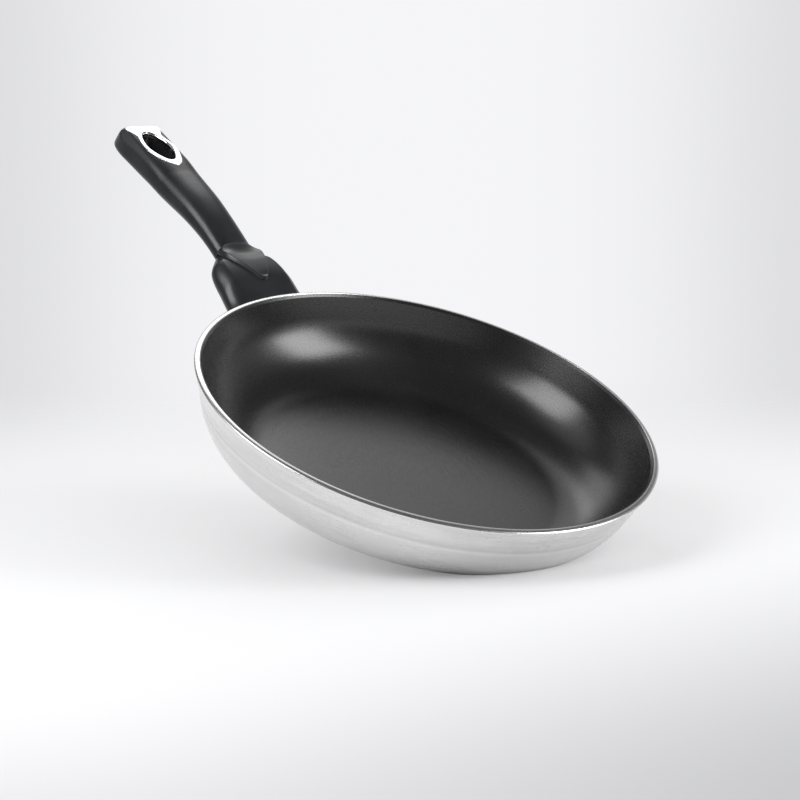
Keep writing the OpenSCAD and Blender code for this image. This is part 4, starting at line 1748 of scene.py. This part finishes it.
@dataclass
class Studio:
    """Camera, lights, backdrop and floor.

    The camera's axes are worked out from how the rim's ellipse lies in the picture: how far it
    is rolled, how steeply it is seen, and which way the handle points. A fall is the stretch over
    which the first of two colours runs into the second: squares of the sine to the camera's side
    for the backdrop, metres to its right less metres away from it for the floor, whose second
    colours are painted shade.
    """

    bowl: Bowl
    azimuth: float = 44.5
    elevation: float = 25.878
    roll: float = 15.804
    lens: float = 100.0
    sensor: float = 36.0
    clip: Span = (0.05, 50.0)
    rim_centre: tuple[float, float, float] = (17.204, 1.1027, 1301.109)
    fill: float = 0.68
    backdrop: tuple[Rgb, Rgb] = ((0.915, 0.915, 0.935), (0.735, 0.735, 0.76))
    backdrop_fall: Span = (0.0, 0.034)
    dim: float = 0.09
    mirror: Rgb = (0.90, 0.90, 0.92)
    mirror_ahead: Span = (-0.15, 0.55)
    mirror_up: Span = (0.12, 0.62)
    mirror_side: Span = (0.10, 0.80)
    mirror_drop: float = 0.8
    patches: tuple[Patch, ...] = (
        Patch(8.0, 57.0, (0.94, 0.99), 1.0),
        Patch(-108.0, 50.0, (0.93, 0.985), 0.45),
    )
    floor_pitch: float = 7.5
    floor_radii: Span = (60.0, 1400.0)
    floor_glow: float = 0.20
    # Glow and diffuse colours go from lit to painted shade towards the near right
    glow: tuple[Rgb, Rgb] = ((0.93, 0.93, 0.945), (0.50, 0.50, 0.525))
    glow_shade_fall: Span = (0.10, 0.62)
    paint: tuple[Rgb, Rgb] = ((0.845, 0.845, 0.855), (0.49, 0.49, 0.51))
    painted_shade_fall: Span = (0.08, 0.62)
    floor_end: Span = (0.30, 0.95)
    lamp_distance: float = 1.1
    lamps: tuple[Lamp, ...] = (
        Lamp("key_left", -122.0, 30.0, (0.6, 0.75), 5.9),
        Lamp("top_back", -19.0, 51.0, (0.6, 0.5), 1.25),
        Lamp("right", 105.0, 14.0, (0.54, 0.75), 7.0),
    )

    def __post_init__(self) -> None:
        """Works out the camera's axes in the object's frame."""
        e, r, t = (math.radians(v) for v in (self.elevation, self.roll, self.azimuth))
        up = np.array([math.sin(r) * math.cos(e), -math.cos(r) * math.cos(e), -math.sin(e)])
        u = np.array([math.cos(r), math.sin(r), 0.0])
        v = np.cross(up, u)
        # Rows are the object's axes in the camera's frame, and columns are the camera's right, down
        # and forward directions in the object's frame
        x, y = math.cos(t) * u - math.sin(t) * v, math.sin(t) * u + math.cos(t) * v
        self.axes = np.stack([x, y, up])
        self.eye = self.axes @ -np.array(self.rim_centre) + np.array([0.0, 0.0, self.bowl.height])
        a = math.radians(self.floor_pitch)
        self.floor_normal = self.turned(0.0, math.cos(a), -math.sin(a))
        self.floor_ahead = self.turned(0.0, math.sin(a), math.cos(a))

    def turned(self, right: float, up: float, forward: float) -> Array:
        """A direction given along the camera's axes, in the object's frame."""
        return self.axes @ np.array([right, -up, forward])

    def towards(self, azimuth: float, elevation: float) -> Array:
        """The direction at a lamp's azimuth and elevation."""
        a, e = math.radians(azimuth), math.radians(elevation)
        return self.turned(math.sin(a) * math.cos(e), math.sin(e), math.cos(a) * math.cos(e))

    def camera(self) -> None:
        """Sets up the camera at the photograph's place."""
        data = bpy.data.cameras.new("camera")
        data.lens, data.sensor_width = self.lens, self.sensor
        data.clip_start, data.clip_end = self.clip
        made = put("camera", data)
        matrix = np.eye(4)
        matrix[:3, :3] = self.axes * [1.0, -1.0, -1.0]
        matrix[:3, 3] = self.eye * METRE
        made.matrix_world = Matrix(matrix.tolist())
        bpy.context.scene.camera = made

    def light(self, lamp: Lamp) -> None:
        """Puts up a lamp.

        Args:
            lamp: The lamp.
        """
        data = bpy.data.lights.new(lamp.name, "AREA")
        data.shape, data.energy = "RECTANGLE", lamp.watts
        data.size, data.size_y = lamp.size
        made = put(lamp.name, data)
        out = Vector(self.towards(lamp.azimuth, lamp.elevation).tolist()).normalized()
        made.location = out * self.lamp_distance + Vector((0.0, 0.0, self.bowl.height * METRE))
        made.rotation_euler = out.to_track_quat("Z", "Y").to_euler()

    def world(self) -> None:
        """A pale backdrop for the camera and for reflections, and an even fill for the rest.

        The backdrop falls off to both sides. Reflections find it beyond the pan and low down, a
        dim room above, beside and behind the camera, and two soft patches in that room.
        """
        world = bpy.data.worlds.new("studio")
        bpy.context.scene.world = world
        world.use_nodes = True
        sheet = Sheet(world.node_tree)
        way = sheet.add("ShaderNodeTexCoord", out="Generated")
        side = sheet.along(way, self.turned(1.0, 0.0, 0.0))
        ahead = sheet.along(way, self.floor_ahead)
        level = sheet.along(way, self.floor_normal)
        aside = side * side
        pale = sheet.blend(*self.backdrop, aside.span(*self.backdrop_fall))
        share = ahead.span(*self.mirror_ahead) * (1.0 - level.span(*self.mirror_up))
        share = share * (1.0 - aside.span(*self.mirror_side) * self.mirror_drop)
        mirrored = sheet.blend((self.dim,) * 3, self.mirror, share)
        for patch in self.patches:
            near = sheet.along(way, self.towards(patch.azimuth, patch.elevation))
            mirrored = sheet.blend(mirrored, (patch.level,) * 3, near.span(*patch.edge))
        fill, shown, glossy = (
            sheet.add("ShaderNodeBackground", inputs={"Color": colour, "Strength": strength})
            for colour, strength in (((1.0,) * 4, self.fill), (pale, 1.0), (mirrored, 1.0))
        )
        shader = sheet.mixed(sheet.ray("Is Glossy Ray"), fill, glossy)
        shader = sheet.mixed(sheet.ray("Is Camera Ray"), shader, shown)
        sheet.add("ShaderNodeOutputWorld", inputs={"Surface": shader})

    def floor(self) -> None:
        """A pale floor that touches the lowest edge of the tilted pan.

        It is a disc round the touching point. Its colour falls off to the near right as painted
        shade, where it is lit and where it glows, and it fades into the backdrop beyond the pan.
        """
        flat = self.floor_normal[:2] / np.linalg.norm(self.floor_normal[:2])
        touch = np.array([*(flat * -self.bowl.base_radius), 0.0])
        right = self.turned(1.0, 0.0, 0.0)
        angle = np.linspace(0.0, 2.0 * np.pi, 96, endpoint=False)
        radii = np.linspace(*self.floor_radii, 16)
        rim = np.cos(angle)[:, None] * right + np.sin(angle)[:, None] * self.floor_ahead
        rings = touch + radii[:, None, None] * rim[None]
        points = np.concatenate([rings.reshape(-1, 3), touch[None]])
        n, m = len(angle), len(radii)
        i, j = np.arange(m - 1)[:, None] * n, np.arange(n)[None]
        k = (j + 1) % n
        quads = np.stack([i + j, i + n + j, i + n + k, i + k], -1).reshape(-1, 4)
        fan = np.stack([j[0], k[0], np.full(n, m * n)], 1)
        made = Skin(points, quads, fan).mesh("floor", 30.0)
        material, sheet = new_material("floor")
        where = sheet.where()
        axes = (right, self.floor_ahead)
        across, away = (sheet.along(where, axis) - float(touch @ axis) * METRE for axis in axes)
        near_right = across - away
        # Both the glow and the diffuse colour darken towards the near right: painted shade on the floor
        glow = sheet.blend(*self.glow, near_right.span(*self.glow_shade_fall))
        paint = sheet.blend(*self.paint, near_right.span(*self.painted_shade_fall))
        lit = sheet.add("ShaderNodeBsdfDiffuse", inputs={"Color": paint})
        glowing = sheet.add("ShaderNodeEmission", inputs={"Color": glow, "Strength": 1.0})
        clear = sheet.add("ShaderNodeBsdfTransparent")
        shown = sheet.mixed(sheet.ray("Is Camera Ray") * self.floor_glow, lit, glowing)
        gone = ((across * across + away * away) ** 0.5).span(*self.floor_end)
        sheet.add("ShaderNodeOutputMaterial", inputs={"Surface": sheet.mixed(gone, shown, clear)})
        made.data.materials.append(material)

    def build(self) -> None:
        """Builds the stage."""
        self.camera()
        self.world()
        self.floor()
        for lamp in self.lamps:
            self.light(lamp)
        bpy.context.scene.view_settings.view_transform = "Standard"


def main() -> None:
    """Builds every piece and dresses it."""
    logging.basicConfig(level=logging.INFO, format="%(name)s: %(message)s")
    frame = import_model()
    bowl = Bowl()
    dresser = Dresser(Finishes(), frame["nodes"])
    bowl.build(dresser)
    Handle(bowl).build(dresser)
    Studio(bowl).build()


if __name__ == "__main__":
    main()
